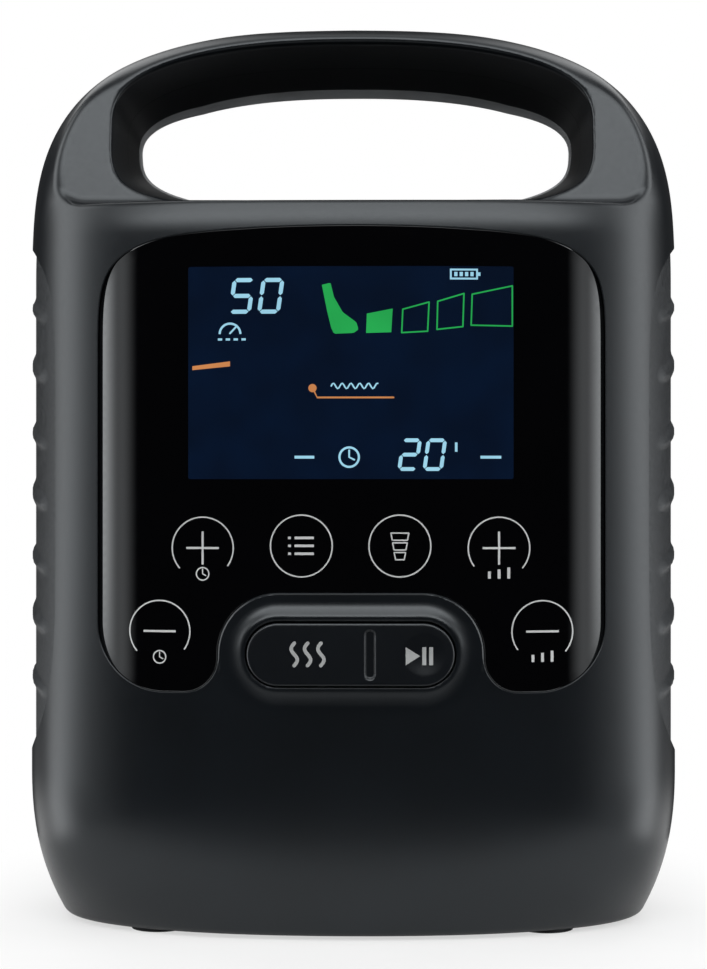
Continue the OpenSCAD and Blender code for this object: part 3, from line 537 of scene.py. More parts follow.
def panel_outline(grow):
    """The front panel, anticlockwise from the middle of the pod's top edge."""
    pod, lobe, inner = POD_R - grow, LOBE_R + grow, LOBE_INNER_R + grow
    edge = KEY_CX + POD_R
    width, height = PANEL_W - CORNER_X + grow, PANEL_TOP - CORNER_Z + grow
    t = np.radians(np.linspace(0, 90, 34)[1:])
    x = CORNER_X + width * np.cos(t) ** (2 / CORNER_POWER)
    z = CORNER_Z + (height - x ** 2 / (2 * CROWN_R)) * np.sin(t) ** (2 / CORNER_POWER)
    crown_x = np.linspace(CORNER_X, 0, 14)[1:]
    crown = np.stack([crown_x, CORNER_Z + height - crown_x ** 2 / (2 * CROWN_R)], 1)
    right = np.concatenate([
        np.stack([np.linspace(0, KEY_CX, 10)[:-1], np.full(9, POD_Z + pod)], 1),
        arc(KEY_CX, POD_Z, pod, 90, 0, 24),
        arc(edge + LOBE_INNER_R, PANEL_LOW + LOBE_INNER_R, inner, 180, 270, 16),
        arc(PANEL_W - LOBE_R, PANEL_LOW + LOBE_R, lobe, 270, 360, 24),
        np.stack([np.full(22, PANEL_W + grow), np.linspace(PANEL_LOW + LOBE_R, CORNER_Z, 24)[1:-1]], 1),
        np.stack([x, z], 1),
        crown,
    ])
    left = right[1:-1][::-1] * [-1, 1]
    return np.concatenate([right, left])


def grip_outline(grow):
    t = np.radians(np.arange(0, 360, 3.0))
    power = np.where(np.sin(t) < 0, GRIP_LOW_POWER, GRIP_TOP_POWER)
    u = np.sign(np.cos(t)) * np.abs(np.cos(t)) ** (2 / GRIP_POWER) * (GRIP_HALF_D + grow)
    v = np.sign(np.sin(t)) * np.abs(np.sin(t)) ** (2 / power) * (GRIP_HALF_H + grow)
    return even(np.stack([u, GRIP_Z + v], 1), 200)


def even(loop, count):
    """The same closed loop with evenly spaced points."""
    closed = np.concatenate([loop, loop[:1]])
    run = np.concatenate([[0], np.cumsum(np.hypot(*np.diff(closed, axis=0).T))])
    at = np.linspace(0, run[-1], count + 1)[:-1]
    return np.stack([np.interp(at, run, closed[:, i]) for i in range(2)], 1)


def rounded(half_w, half_h, r, cx=0.0, cz=0.0):
    """A function that gives a rounded rectangle's outline for how far it grows."""
    def outline(grow):
        made = []
        corners = [arc(cx + sx * (half_w - r), cz + sz * (half_h - r), r + grow, start, start + 90, 12)
                   for sx, sz, start in ((1, -1, 270), (1, 1, 0), (-1, 1, 90), (-1, -1, 180))]
        for corner, after in zip(corners, corners[1:] + corners[:1]):
            side = after[0] - corner[-1]
            count = 1 + int(np.hypot(*side) / 3)
            made += [corner, corner[-1] + side * np.arange(1, count)[:, None] / count]
        loop = np.concatenate(made)
        return loop[np.hypot(*(loop - np.roll(loop, 1, axis=0)).T) > 1e-6]
    return outline


def disc(cx, cz, r):
    return lambda grow: arc(cx, cz, r + grow, 0, 360, 65)[:-1]


def stroke(points, width):
    """Outline of a line of some width with round ends."""
    points = np.asarray(points, float)
    along = np.gradient(points, axis=0)
    along /= np.hypot(*along.T)[:, None]
    side = np.stack([-along[:, 1], along[:, 0]], 1) * width / 2
    ends = []
    for i, turn in ((-1, 0), (0, math.pi)):
        start = math.atan2(along[i, 1], along[i, 0]) - math.pi / 2 + turn
        t = start + np.linspace(0, math.pi, 8)[1:-1]
        ends.append(points[i] + width / 2 * np.stack([np.cos(t), np.sin(t)], 1))
    return np.concatenate([points - side, ends[0], (points + side)[::-1], ends[1]])


def ring(cx, cz, r, width, start=0, end=360):
    """Outlines of a ring or of part of one."""
    if end - start >= 360:
        return ring(cx, cz, r, width, 0, 180) + ring(cx, cz, r, width, 180, 359.9)
    count = max(8, int((end - start) / 5))
    return [np.concatenate([arc(cx, cz, r + width / 2, start, end, count),
                            arc(cx, cz, r - width / 2, end, start, count)])]


def sides(box, width):
    """Outlines of a four-sided figure's sides."""
    return [stroke([box[i], box[(i + 1) % 4]], width) for i in range(4)]


def bar(x0, z0, x1, z1):
    return np.array([(x0, z0), (x1, z0), (x1, z1), (x0, z1)], float)


FIGURES = {"0": "abcdef", "1": "bc", "2": "abged", "3": "abgcd", "4": "fgbc", "5": "afgcd", "6": "afgedc"}


def figure(char, cx, cz, width, height, line, slant=0.14):
    """Outlines of a numeral made of seven bars."""
    w, h, t, gap = width / 2, height / 2, line / 2, line * 0.12
    ends = {"a": ((-w, h), (w, h)), "g": ((-w, 0), (w, 0)), "d": ((-w, -h), (w, -h)),
            "f": ((-w, h), (-w, 0)), "b": ((w, h), (w, 0)), "e": ((-w, 0), (-w, -h)), "c": ((w, 0), (w, -h))}
    loops = []
    for segment in FIGURES[char]:
        a, b = np.array(ends[segment], float)
        way = (b - a) / np.hypot(*(b - a))
        side = np.array([-way[1], way[0]]) * t
        a, b = a + way * gap, b - way * gap
        near, far = a + way * t, b - way * t
        loop = np.array([a, near - side, far - side, b, far + side, near + side])
        loop[:, 0] += loop[:, 1] * slant
        loops.append(loop + [cx, cz])
    return loops


# ---------- materials ----------

def feed(tree, node, *values, **named):
    """Sets inputs in their order or by name, where _ is a space, to values or other nodes' outputs."""
    sockets = list(zip(node.inputs, values))
    sockets += [(node.inputs[name.replace("_", " ")], value) for name, value in named.items()]
    for socket, value in sockets:
        if isinstance(value, bpy.types.NodeSocket):
            tree.links.new(value, socket)
        else:
            socket.default_value = value
    return node


def add(tree, kind, *values, **named):
    return feed(tree, tree.nodes.new("ShaderNode" + kind), *values, **named)


def own_point(tree):
    """The point's own coordinates, in metres."""
    return add(tree, "TexCoord").outputs["Object"]


def calculate(tree, operation, *values):
    node = add(tree, "Math", *values)
    node.operation = operation
    return node.outputs[0]


def new_material(name, colour, roughness, coat=0.0, metallic=0.0, specular=0.5):
    material = bpy.data.materials.new(name)
    material.use_nodes = True
    tree = material.node_tree
    shader = feed(tree, tree.nodes["Principled BSDF"], Base_Color=(*colour, 1), Roughness=roughness,
                  Metallic=metallic, Specular_IOR_Level=specular, Coat_Weight=coat)
    if not metallic:
        feed(tree, shader, Specular_Tint=(0.90, 0.96, 1.0, 1))
    return material, tree, shader


def noise(tree, scale, detail=4.0, where=None):
    return add(tree, "TexNoise", Scale=scale, Detail=detail, Roughness=0.55,
               Vector=own_point(tree) if where is None else where).outputs["Fac"]


def ramp(tree, source, low, high, start=0.3, end=0.7, smooth=False):
    node = add(tree, "MapRange")
    if smooth:
        node.interpolation_type = "SMOOTHSTEP"
    feed(tree, node, Value=source, From_Min=start, From_Max=end, To_Min=low, To_Max=high)
    return node.outputs["Result"]


def tint(tree, source, first, second, start=0.35, end=0.65):
    node = add(tree, "ValToRGB", Fac=source)
    for element, position, colour in zip(node.color_ramp.elements, (start, end), (first, second)):
        element.position, element.color = position, (*colour, 1)
    return node.outputs["Color"]


def dimmed(colour, share):
    return tuple(c * share for c in colour)


def bump(tree, shader, heights, strength, distance):
    """Bumps from one or more (height output, share) pairs."""
    total = 0.0
    for output, share in heights:
        total = calculate(tree, "ADD", calculate(tree, "MULTIPLY", output, share), total)
    made = add(tree, "Bump", Strength=strength, Distance=distance, Height=total)
    feed(tree, shader, Normal=made.outputs["Normal"])


def moulded(name, colour, roughness, grain=2600.0, strength=0.25, spread=0.06, shift=0.15):
    """Moulded plastic or rubber: fine spark-eroded grain, faint cloudy colour and sheen."""
    material, tree, shader = new_material(name, colour, roughness)
    cloud, grains, pits = noise(tree, 38.0, 3.0), noise(tree, grain, 2.0), noise(tree, grain * 0.35, 3.0)
    feed(tree, shader, Base_Color=tint(tree, cloud, dimmed(colour, 1 - shift), dimmed(colour, 1 + shift)),
         Roughness=ramp(tree, pits, roughness - spread, roughness + spread))
    bump(tree, shader, [(grains, 0.6), (pits, 0.4)], strength, 0.00004)
    return material


def metal(name, colour, roughness, stretch=(1.0, 1.0, 40.0), strength=0.1):
    """Metal with fine lines drawn out along the stretch's small axes."""
    material, tree, shader = new_material(name, colour, roughness, metallic=1.0)
    mapping = add(tree, "Mapping", Scale=stretch, Vector=own_point(tree))
    lines, spots = noise(tree, 300.0, 3.0, mapping.outputs["Vector"]), noise(tree, 90.0, 3.0)
    feed(tree, shader, Base_Color=tint(tree, spots, dimmed(colour, 0.82), colour),
         Roughness=ramp(tree, lines, roughness * 0.7, roughness * 1.3))
    bump(tree, shader, [(lines, 1.0)], strength, 0.00003)
    return material


def glowing(name, colour, variation=0.12):
    """A lit part of the display, behind the panel's gloss."""
    material, tree, shader = new_material(name, (0.002, 0.003, 0.006), 0.12, coat=0.6)
    cloud = noise(tree, 60.0, 2.0)
    feed(tree, shader, Emission_Color=tint(tree, cloud, dimmed(colour, 1 - variation), colour),
         Emission_Strength=1.0)
    return material


def gloss(name, colour, low=0.05, high=0.09, specular=1.0):
    """Deep polished acrylic with a hard coat: faintly wavy, with a little haze."""
    material, tree, shader = new_material(name, colour, low, coat=1.0, specular=specular)
    waves = noise(tree, 22.0, 1.0)
    feed(tree, shader, Coat_Roughness=0.03, Roughness=ramp(tree, noise(tree, 240.0, 3.0), low, high),
         Base_Color=tint(tree, waves, dimmed(colour, 0.75), colour))
    bump(tree, shader, [(waves, 1.0)], 0.04, 0.0002)
    return material


def clear(name, colour, roughness, ior, transmission):
    material, tree, shader = new_material(name, colour, roughness)
    cloud = noise(tree, 120.0, 3.0)
    feed(tree, shader, IOR=ior, Transmission_Weight=transmission,
         Roughness=ramp(tree, cloud, roughness * 0.7, roughness * 1.4),
         Base_Color=tint(tree, cloud, dimmed(colour, 0.93), colour))
    bump(tree, shader, [(cloud, 1.0)], 0.1, 0.0001)
    return material


def circuit():
    """Green solder mask over copper tracks on a fine grid."""
    material, tree, shader = new_material("circuit_board", (0.010, 0.085, 0.035), 0.32, coat=0.4)
    turn = add(tree, "Mapping", Rotation=(math.pi / 2, 0, 0), Vector=own_point(tree))
    bricks = add(tree, "TexBrick", Scale=160.0, Mortar_Size=0.03, Color1=(0.010, 0.085, 0.035, 1),
                 Color2=(0.014, 0.110, 0.045, 1), Mortar=(0.035, 0.170, 0.060, 1),
                 Vector=turn.outputs["Vector"])
    feed(tree, shader, Base_Color=bricks.outputs["Color"])
    bump(tree, shader, [(bricks.outputs["Fac"], 1.0)], 0.2, 0.00005)
    return material


def winding():
    """Enamelled copper wire wound round an upright bobbin."""
    material, tree, shader = new_material("copper_winding", (0.42, 0.13, 0.05), 0.3, metallic=0.7)
    wave = add(tree, "TexWave", Scale=620.0, Distortion=0.3, Vector=own_point(tree))
    wave.bands_direction = "Z"
    turns = wave.outputs["Fac"]
    # The grooves between turns are coloured darker along with the bump: painted shade.
    feed(tree, shader, Base_Color=tint(tree, turns, (0.14, 0.035, 0.012), (0.48, 0.16, 0.06), 0.1, 0.8),
         Roughness=ramp(tree, turns, 0.5, 0.25))
    bump(tree, shader, [(turns, 1.0)], 0.6, 0.0001)
    return material


def foam():
    material, tree, shader = new_material("filter_foam", (0.035, 0.035, 0.038), 0.9, specular=0.2)
    cells = add(tree, "TexVoronoi", Scale=1100.0, Vector=own_point(tree)).outputs["Distance"]
    # The pits of the cells are coloured darker along with the bump: painted shade in the pores.
    feed(tree, shader, Base_Color=tint(tree, cells, (0.004, 0.004, 0.005), (0.055, 0.055, 0.060), 0.2, 0.6))
    bump(tree, shader, [(cells, 1.0)], 0.8, 0.0004)
    return material


SHELL = moulded("shell_plastic", (0.0026, 0.0036, 0.0050), 0.30, strength=0.05, spread=0.02)
RUBBER = moulded("grip_rubber", (0.0075, 0.0085, 0.0100), 0.5, grain=1800.0, strength=0.3, spread=0.08)
# pale grey plastic for the opening's rear lip: a painted highlight standing in for the dark lip where it
# catches the light
RIM = moulded("painted_highlight_rim", (0.34, 0.35, 0.36), 0.36, strength=0.08)
KEY = moulded("key_plastic", (0.0020, 0.0028, 0.0042), 0.32, strength=0.05, spread=0.02)
GLOSS = gloss("gloss_panel", (0.0006, 0.0006, 0.0010))
INK = moulded("legend_ink", (0.50, 0.51, 0.51), 0.5, grain=4000.0, strength=0.1, shift=0.05)
SOFT_INK = moulded("soft_ink", (0.33, 0.34, 0.34), 0.5, grain=4000.0, strength=0.1, shift=0.05)
LCD_NIGHT = glowing("display_night", (0.0005, 0.0048, 0.0180), 0.35)
LCD_ICE = glowing("display_ice", (0.36, 0.70, 0.88))
LCD_GREEN = glowing("display_green", (0.02, 0.40, 0.08))
LCD_AMBER = glowing("display_amber", (0.62, 0.24, 0.08))
LOOKS = {
    "shell_plastic": SHELL,
    "grip_rubber": RUBBER,
    "gloss_panel": GLOSS,
    "key_plastic": KEY,
    "display_face": gloss("display_face", (0.002, 0.006, 0.020), specular=0.5),
    "clear_acrylic": clear("clear_acrylic", (0.80, 0.88, 0.94), 0.08, 1.49, 0.9),
    "polished_steel": metal("polished_steel", (0.62, 0.63, 0.64), 0.22),
    "sheet_steel": metal("sheet_steel", (0.50, 0.51, 0.52), 0.36, (1.0, 30.0, 1.0)),
    "circuit_board": circuit(),
    "black_plastic": moulded("black_plastic", (0.0075, 0.0075, 0.0080), 0.4, strength=0.2),
    "grey_plastic": moulded("grey_plastic", (0.055, 0.058, 0.062), 0.45, strength=0.25),
    "polyimide_film": gloss("polyimide_film", (0.42, 0.17, 0.03), 0.2, 0.35, 0.5),
    "battery_wrap": gloss("battery_wrap", (0.02, 0.09, 0.36), 0.18, 0.3, 0.5),
    "foot_rubber": moulded("foot_rubber", (0.008, 0.008, 0.009), 0.65, grain=1500.0, strength=0.4),
    "filter_foam": foam(),
    "red_silicone": moulded("red_silicone", (0.36, 0.035, 0.02), 0.45, strength=0.15),
    "white_nylon": moulded("white_nylon", (0.62, 0.62, 0.57), 0.5, grain=1500.0),
    "clear_silicone": clear("clear_silicone", (0.72, 0.78, 0.82), 0.35, 1.41, 0.6),
    "copper_winding": winding(),
    "cast_aluminium": metal("cast_aluminium", (0.42, 0.43, 0.44), 0.5, (1.0, 1.0, 1.0), 0.5),
}


# ---------- shells ----------

# grid spacing
PITCH = 1.0
WALL, FRONT_EXTRA = 3.0, 1.7
FOOT_X, FOOT_Y, FOOT_R, FOOT_DEEP = 56, 24, 8.2, 2.7
DOOR_SCREW_X, DOOR_SCREW_Z, DOOR_SCREW_R = 55, 53, 2.75


def closed_at(field, low_y, high_y):
    """The field's solid between two depths."""
    def inside(x, y, z):
        return np.maximum(np.maximum(field(x, y, z), y - high_y), low_y - y)
    return inside


def cavity(x, y, z):
    return housing(x, y, z) + WALL + FRONT_EXTRA * (y < 0)


def hollow_half(name, side):
    """One half of the housing, cut flat where the halves meet and hollowed out."""
    front = side < 0
    low, high = (-58.0, 9.0) if front else (-1.0, 55.0)
    if front:
        xs = spaced([(-97.5, 0), (-40, 1.15 * PITCH), (40, 0.75 * PITCH), (97.5, 1.15 * PITCH)])
        zs = spaced([(0, 0), (62, 1.15 * PITCH), (101, 0.75 * PITCH), (202, 1.15 * PITCH),
                     (265, 0.7 * PITCH)])
        ys = spaced([(low, 0), (-38, 0.8 * PITCH), (-14, 0.75 * PITCH), (high + 1, 1.1 * PITCH)])
    else:
        xs = spaced([(-97.5, 0), (97.5, 1.25 * PITCH)])
        zs = spaced([(0, 0), (202, 1.25 * PITCH), (265, 1.0 * PITCH)])
        ys = spaced([(low - 1, 0), (high, 1.1 * PITCH)])
    shell = surface_net(name, closed_at(housing, low + 1, high - 1), xs, ys, zs)
    coarse = spaced([(-97, 0), (97, 3.2)])
    carve(shell, surface_net("cutter", closed_at(cavity, low + 2, high - 2), coarse,
                             spaced([(low, 0), (high, 2.2)]), spaced([(0, 0), (265, 3.2)])))
    near, far = (-90, PART_Y - SEAM) if front else (PART_Y + SEAM, 90)
    return carve(shell, box_cutter((-120, near, -20), (120, far, 300)), "INTERSECT")


def solid(parts):
    return make_object("cutter", *merged(parts))


front_shell = hollow_half("front_housing", -1)
carve(front_shell, plate("cutter", panel_outline, [(3.4, -3), (0.42, 0), (0.14, 0.25), (0.14, 3.1)],
                         on_front, 6))
carve(front_shell, plate("cutter", pill_outline, [(KEY_GAP + 3, -5), (KEY_GAP + 0.3, -1.75), (KEY_GAP, -1.4),
                                                  (KEY_GAP, 12)], on_front))
carve(front_shell, plate("cutter", rounded(52, 36, 2, 0, LCD_Z), [(0, -6), (0, 12)], on_front))
rear_shell = hollow_half("rear_housing", 1)
for place in (on_left, on_right):
    for shell in (front_shell, rear_shell):
        carve(shell, plate("cutter", grip_outline, [(3.5, -3.1), (0.4, 0), (0, 0.4), (0, POCKET)], place, 6))

carve(rear_shell, solid([turned([(4.2, 4.6), (4.2, float(face(x, z, 1.5, 1)))], (x, 0, z), 1)
                         for x, z in BOSSES]), "UNION")
carve(rear_shell, solid([turned([(1.8, 0), (1.8, 27), (3.2, 27), (3.2, 60)], (x, 0, z), 1)
                         for x, z in BOSSES]))
carve(rear_shell, solid(
    [slab(outline, [(0.6, -3), (0.35, 0), (0, 0.35), (0, 12)], on_rear)
     for outline in [rounded(58.15, 11.15, 8, 0, PORT_Z), disc(-JACK_X, JACK_Z, 5.7),
                     disc(-HEATER_X, JACK_Z, 5.7), rounded(10.55, 7.35, 1.1, -ROCKER_X, JACK_Z),
                     disc(-FILTER_X, FILTER_Z, 13.25)]
     + [rounded(1.1, 10.1, 1.1, (4 - i) * 5 - VENT_X, VENT_Z) for i in range(9)]]))
cover = rounded(74, 25, 6, 0, 34)
carve(rear_shell, plate("cutter", cover, [(0.8, -3), (0.3, 0), (0, 0.3), (0, 1.5)], on_rear, 8))
carve(rear_shell, plate("cutter", cover, [(-3, -3), (-3, 9)], on_rear, 8))
for shell in (front_shell, rear_shell):
    carve(shell, solid([turned([(FOOT_R, -1), (FOOT_R, FOOT_DEEP)], (x, y, 0), 2)
                        for x in (-FOOT_X, FOOT_X) for y in (-FOOT_Y, FOOT_Y)]))
    shell.data.materials.append(SHELL)
finish_mesh(front_shell, replaces=["front_shell"])
finish_mesh(rear_shell, replaces=["rear_shell"])
for shell in (front_shell, rear_shell):
    true_normals(shell, housing)


def tunnel_ring(before, inset, count=200):
    """Points round the hand opening, some way before its rear edge and drawn in from its wall."""
    t = np.arange(count) * 2 * math.pi / count
    reach, y = np.full(count, 50.0), np.full(count, 40.0)
    for _ in range(40):
        x, z = reach * np.cos(t), TUNNEL_Z - 1 + reach * np.sin(t) * 0.45
        draw = inset * (0.35 + 0.65 * step(z, 234, 249)) if inset > 0 else inset
        reach = reach - (tunnel(x, y - before, z) + draw) * 0.9
        y = y - 0.7 * np.maximum(body_skin(x, y, z), rear_roll(y, z))
    return np.stack([x, y - before, z], 1)


# A pale grey bead round the opening's rear lip: a painted highlight for the lit edge of the dark shell
rows = [tunnel_ring(before, inset) for before, inset in
        ((9.0, -0.3), (9.0, 0.03), (7.0, 0.15), (4.2, 0.95), (3.6, 0.85), (3.1, 0.3), (3.1, -0.3))]
count = len(rows[0])
faces = [tuple(f) for i in range(len(rows)) for f in band(i * count, (i + 1) % len(rows) * count, count)]
finish_mesh(make_object("opening_rim_painted_highlight", np.concatenate(rows), faces, [RIM]))

battery_cover = plate("battery_door", cover, [(-0.75, 0.02), (-0.45, 0.1), (-0.3, 0.35), (-0.3, 1.35)],
                      on_rear, 4)
carve(battery_cover, solid([turned([(DOOR_SCREW_R, 20), (DOOR_SCREW_R, 70)], (x, 0, DOOR_SCREW_Z), 1)
                            for x in (-DOOR_SCREW_X, DOOR_SCREW_X)]))
FINGER_GROOVE = [(0.4, -1), (0.25, 0), (0, 0.3), (-0.2, 0.7)]
carve(battery_cover, solid([slab(rounded(9, 0.7, 0.7, 0, z), FINGER_GROOVE, on_rear)
                            for z in (50.5, 53, 55.5)]))
battery_cover.data.materials.append(SHELL)
finish_mesh(battery_cover, replaces=["battery_cover"])


# ---------- front panel ----------

def on_panel(points, depth):
    """The panel's polished face, which falls away a little towards its left and right edges."""
    beyond = np.abs(points[:, 0]) - 56
    droop = 0.00625 * np.clip(beyond, 0, 12) ** 2 + 0.15 * np.maximum(beyond - 12, 0)
    level = 0.55 * CROWN * np.clip((points[:, 1] - CROWN_Z) / (SHOULDER - CROWN_Z), 0, 1) ** 2
    return on_front(points, depth + droop - level)


panel = plate("front_panel", panel_outline, [(-0.12, 0.05), (-0.03, 0.11), (0, 0.22), (0, 2.0)],
              on_panel, 1.8, materials=[GLOSS])
finish_mesh(panel, replaces=["control_panel"], sharp=20)

printed("display_field", [rounded(LCD_HALF_W, LCD_HALF_H, 0.6, 0, LCD_Z)(0)], on_panel, LCD_NIGHT,
        0.02, 3.0)
frost = (figure("5", -30.3, 181.0, 5.2, 8.8, 1.15) + figure("0", -22.2, 181.0, 5.2, 8.8, 1.15)
         + figure("2", 16.4, 136.8, 4.6, 8.0, 1.05) + figure("0", 23.4, 136.8, 4.6, 8.0, 1.05)
         + [bar(-15.6, 135.7, -10.1, 136.5), bar(36.1, 135.7, 41.9, 136.5), bar(29.0, 137.6, 29.7, 140.2)]
         + ring(-0.4, 136.1, 2.7, 0.6) + [stroke([(-0.4, 138.0), (-0.4, 136.1), (1.0, 135.4)], 0.5)]
         + ring(-33.6, 170.4, 2.9, 0.6, 0, 180) + [stroke([(-33.6, 170.6), (-32.0, 172.3)], 0.5)]
         + [bar(-37.0 + i * 2.2, 168.6, -35.8 + i * 2.2, 169.2) for i in range(4)]
         + [bar(27.6, 185.5, 35.4, 186.0), bar(27.6, 188.0, 35.4, 188.5), bar(27.6, 186.0, 28.1, 188.0),
            bar(34.9, 186.0, 35.4, 188.0), bar(35.4, 186.5, 36.1, 187.5)]
         + [bar(28.8 + i * 1.5, 186.4, 29.7 + i * 1.5, 187.6) for i in range(4)]
         + [stroke([(-5.4 + i * 0.35, 155.9 + 0.75 * math.sin(i * 0.9)) for i in range(38)], 0.42)])
printed("display_figures", frost, on_panel, LCD_ICE, 0.035)
leg = np.array([(-8.0, 184.0), (-5.6, 184.6), (-4.6, 180.6), (-2.2, 176.4), (1.6, 173.6), (2.2, 171.6),
                (0.8, 170.6), (-4.6, 170.4), (-5.4, 172.0), (-6.6, 177.0)])
boxes = [[(14.2, 170.7), (21.4, 171.1), (21.8, 179.2), (14.5, 177.2)],
         [(24.0, 171.6), (31.2, 172.4), (31.5, 181.6), (24.2, 179.4)],
         [(33.5, 172.8), (45.0, 172.6), (45.0, 183.8), (33.8, 181.4)]]
green = [even(leg, 60), np.array([(4.3, 170.6), (11.3, 170.8), (11.7, 177.4), (4.5, 176.0)])]
for box in boxes:
    green += sides(box, 0.42)
printed("display_segments", green, on_panel, LCD_GREEN, 0.035)
printed("display_marks", [np.array([(-44.2, 160.4), (-33.6, 161.4), (-33.6, 162.8), (-44.2, 161.5)]),
                          disc(-10.6, 155.3, 1.15)(0),
                          stroke([(-10.4, 155.0), (-9.3, 152.7), (11.9, 152.7)], 0.5)],
        on_panel, LCD_AMBER, 0.035)

TIME_KEYS, LEVEL_KEYS = ((-41.3, 110.8), (-53.5, 87.5)), ((41.3, 110.8), (53.5, 87.5))
LIST_X, LIST_Z = 13.7, 111.4
keys = ring(-LIST_X, LIST_Z, RING_R, RING_LINE) + ring(LIST_X, LIST_Z, RING_R, RING_LINE)
for cx, cz in TIME_KEYS:
    keys += ring(cx, cz, RING_R, RING_LINE, -36, 221)
    hands = stroke([(cx, cz - 5.9), (cx, cz - 7.2), (cx + 0.9, cz - 7.7)], 0.32)
    keys += ring(cx, cz - 7.2, 1.75, 0.36) + [hands]
for cx, cz in LEVEL_KEYS:
    keys += ring(cx, cz, RING_R, RING_LINE, -41, 216)
    keys += [bar(cx - 3.1 + i * 2.7, cz - 8.5, cx - 2.3 + i * 2.7, cz - 6.5 + i * 0.55) for i in range(3)]
for cx, cz in (TIME_KEYS[0], LEVEL_KEYS[0], TIME_KEYS[1], LEVEL_KEYS[1]):
    keys.append(bar(cx - 4.6, cz - 0.29, cx + 4.6, cz + 0.29))
for cx, _ in (TIME_KEYS[0], LEVEL_KEYS[0]):
    keys += [bar(cx - 0.29, 111.09, cx + 0.29, 115.4), bar(cx - 0.29, 106.2, cx + 0.29, 110.51)]
for i in range(3):
    keys += [bar(x0, 113.3 - i * 2.2, x1, 114.0 - i * 2.2) for x0, x1 in ((-15.6, -10.2), (-17.4, -16.6))]
    width = 2.4 + i * 0.9
    low = 107.6 + i * 2.7
    keys += sides([(LIST_X - width / 2, low), (LIST_X + width / 2, low),
                   (14.1 + width / 2, low + 2.0), (13.3 - width / 2, low + 2.0)], 0.36)
printed("touch_legends", keys, on_panel, INK)


# ---------- pill key ----------

KEY_FACE = -HALF_D - POD_RISE + 0.3


def key_hollow(points):
    """Depth of the groove between the key's two ends, and of the thumb dimple on the right one."""
    x, z = points[:, 0], points[:, 1]
    run = np.hypot(x - 5.4, np.maximum(np.abs(z - POD_Z) - 5.45, 0))
    groove = 0.7 * step(1.65 - run, 0, 0.6)
    dimple = 0.7 * np.clip(1 - ((x - 20.5) ** 2 + (z - POD_Z) ** 2) / 6.1 ** 2, 0, 1) ** 1.4
    return groove + dimple


def on_key(points, depth):
    return np.stack([points[:, 0], KEY_FACE + key_hollow(points) + depth, points[:, 1]], 1)


def on_flat_key(points, depth):
    return np.stack([points[:, 0], KEY_FACE + depth, points[:, 1]], 1)


cap = slab(pill_outline, [(-0.7, 0), (-0.4, 0.07), (-0.15, 0.25), (0, 0.6), (0, 6)], on_flat_key,
           0.36 * PITCH, lambda p: -key_hollow(p))
stems = [turned([(2.2, KEY_FACE + 5), (2.2, -45.1)], (x, 0, POD_Z), 1) for x in (-20, 21)]
barrel = turned([(2.4, POD_Z - KEY_R + 0.2), (2.4, POD_Z + KEY_R - 0.2)], (4.9, -44, 0), 2)
pill_key = make_object("pill_key_cap", *merged([cap] + stems + [barrel]), [KEY])
finish_mesh(pill_key, "pill_key", ["rocker_key"], 50)
waves = []
for cx in (-15.6, -11.9, -8.2):
    rise = np.linspace(-3.1, 3.1, 15)
    waves.append(stroke([(cx - 0.85 * math.sin(r * 1.02), 81.4 + r) for r in rise], 1.0))
printed("heat_legend", waves, on_key, SOFT_INK, body="pill_key")
printed("start_legend", [np.array([(15.3, 78.4), (19.3, 80.9), (15.3, 83.4)]), bar(19.9, 78.4, 21.0, 83.4),
                         bar(21.8, 78.4, 22.9, 83.4)], on_key, SOFT_INK, 0.04, 0.7, "pill_key")


# ---------- side grips ----------

RIBS = ((182, 2.8), (165, 4.0), (145.5, 3.0), (128, 4.0), (109.5, 3.0), (92.5, 4.0), (74, 2.8))


def rib_relief(points):
    """Raised leaf-shaped ribs that arch across the grip."""
    u, v = points[:, 0], points[:, 1]
    height = np.zeros(len(u))
    for middle, thick in RIBS:
        line = middle - 5.0 * (np.abs(u) / 27) ** 1.8
        half = thick * np.clip(1 - (np.abs(u) / 28.5) ** 4, 0, 1) ** 0.5 + 0.01
        across = np.abs(v - line) / half
        height = np.maximum(height, step(1 - across, 0, 0.75) * np.clip(half / 1.8, 0, 1))
    margin = np.clip((distance_to_loop(points, grip_outline(0)) - 1.5) / 2.0, 0, 1)
    return height * margin


for name, place, node in (("left_grip", on_left, "side_grip_left"),
                          ("right_grip", on_right, "side_grip_right")):
    grip = plate(name, grip_outline, [(-1.1, GRIP_SINK), (-0.45, GRIP_SINK + 0.15), (-0.15, GRIP_SINK + 0.7),
                                      (-0.15, POCKET - 0.1)], place, 1.2 * PITCH, rib_relief, [RUBBER])
    finish_mesh(grip, replaces=[node], sharp=60)


# ---------- rear legends and carried nodes ----------

numbers = [loop for i in range(5) for loop in
           figure(str(i + 1), (2 - i) * 22.0, PORT_Z + 15.5, 2.2, 3.8, 0.6, 0)]
printed("port_numbers", numbers, on_rear, SOFT_INK)

for part in frame["record"]["subparts"]:
    for place in frame["nodes"][part["node"]].material_slots:
        place.material = LOOKS[part["material_slot"]]
for node in ("hose_socket", "power_switch", "power_rocker", "dc_jack", "heater_socket", "filter_cover",
             "feet", "housing_screws", "battery_screws"):
    modifiers = frame["nodes"][node].modifiers
    modifiers.new("weld", "WELD").merge_threshold = 0.00001
    bevel = modifiers.new("bevel", "BEVEL")
    bevel.width, bevel.segments, bevel.harden_normals = 0.0003, 2, True
    bevel.limit_method, bevel.angle_limit = "ANGLE", math.radians(35)


# ---------- floor, light and camera ----------

FLOOR_W, FLOOR_D = 150.0, 215.0
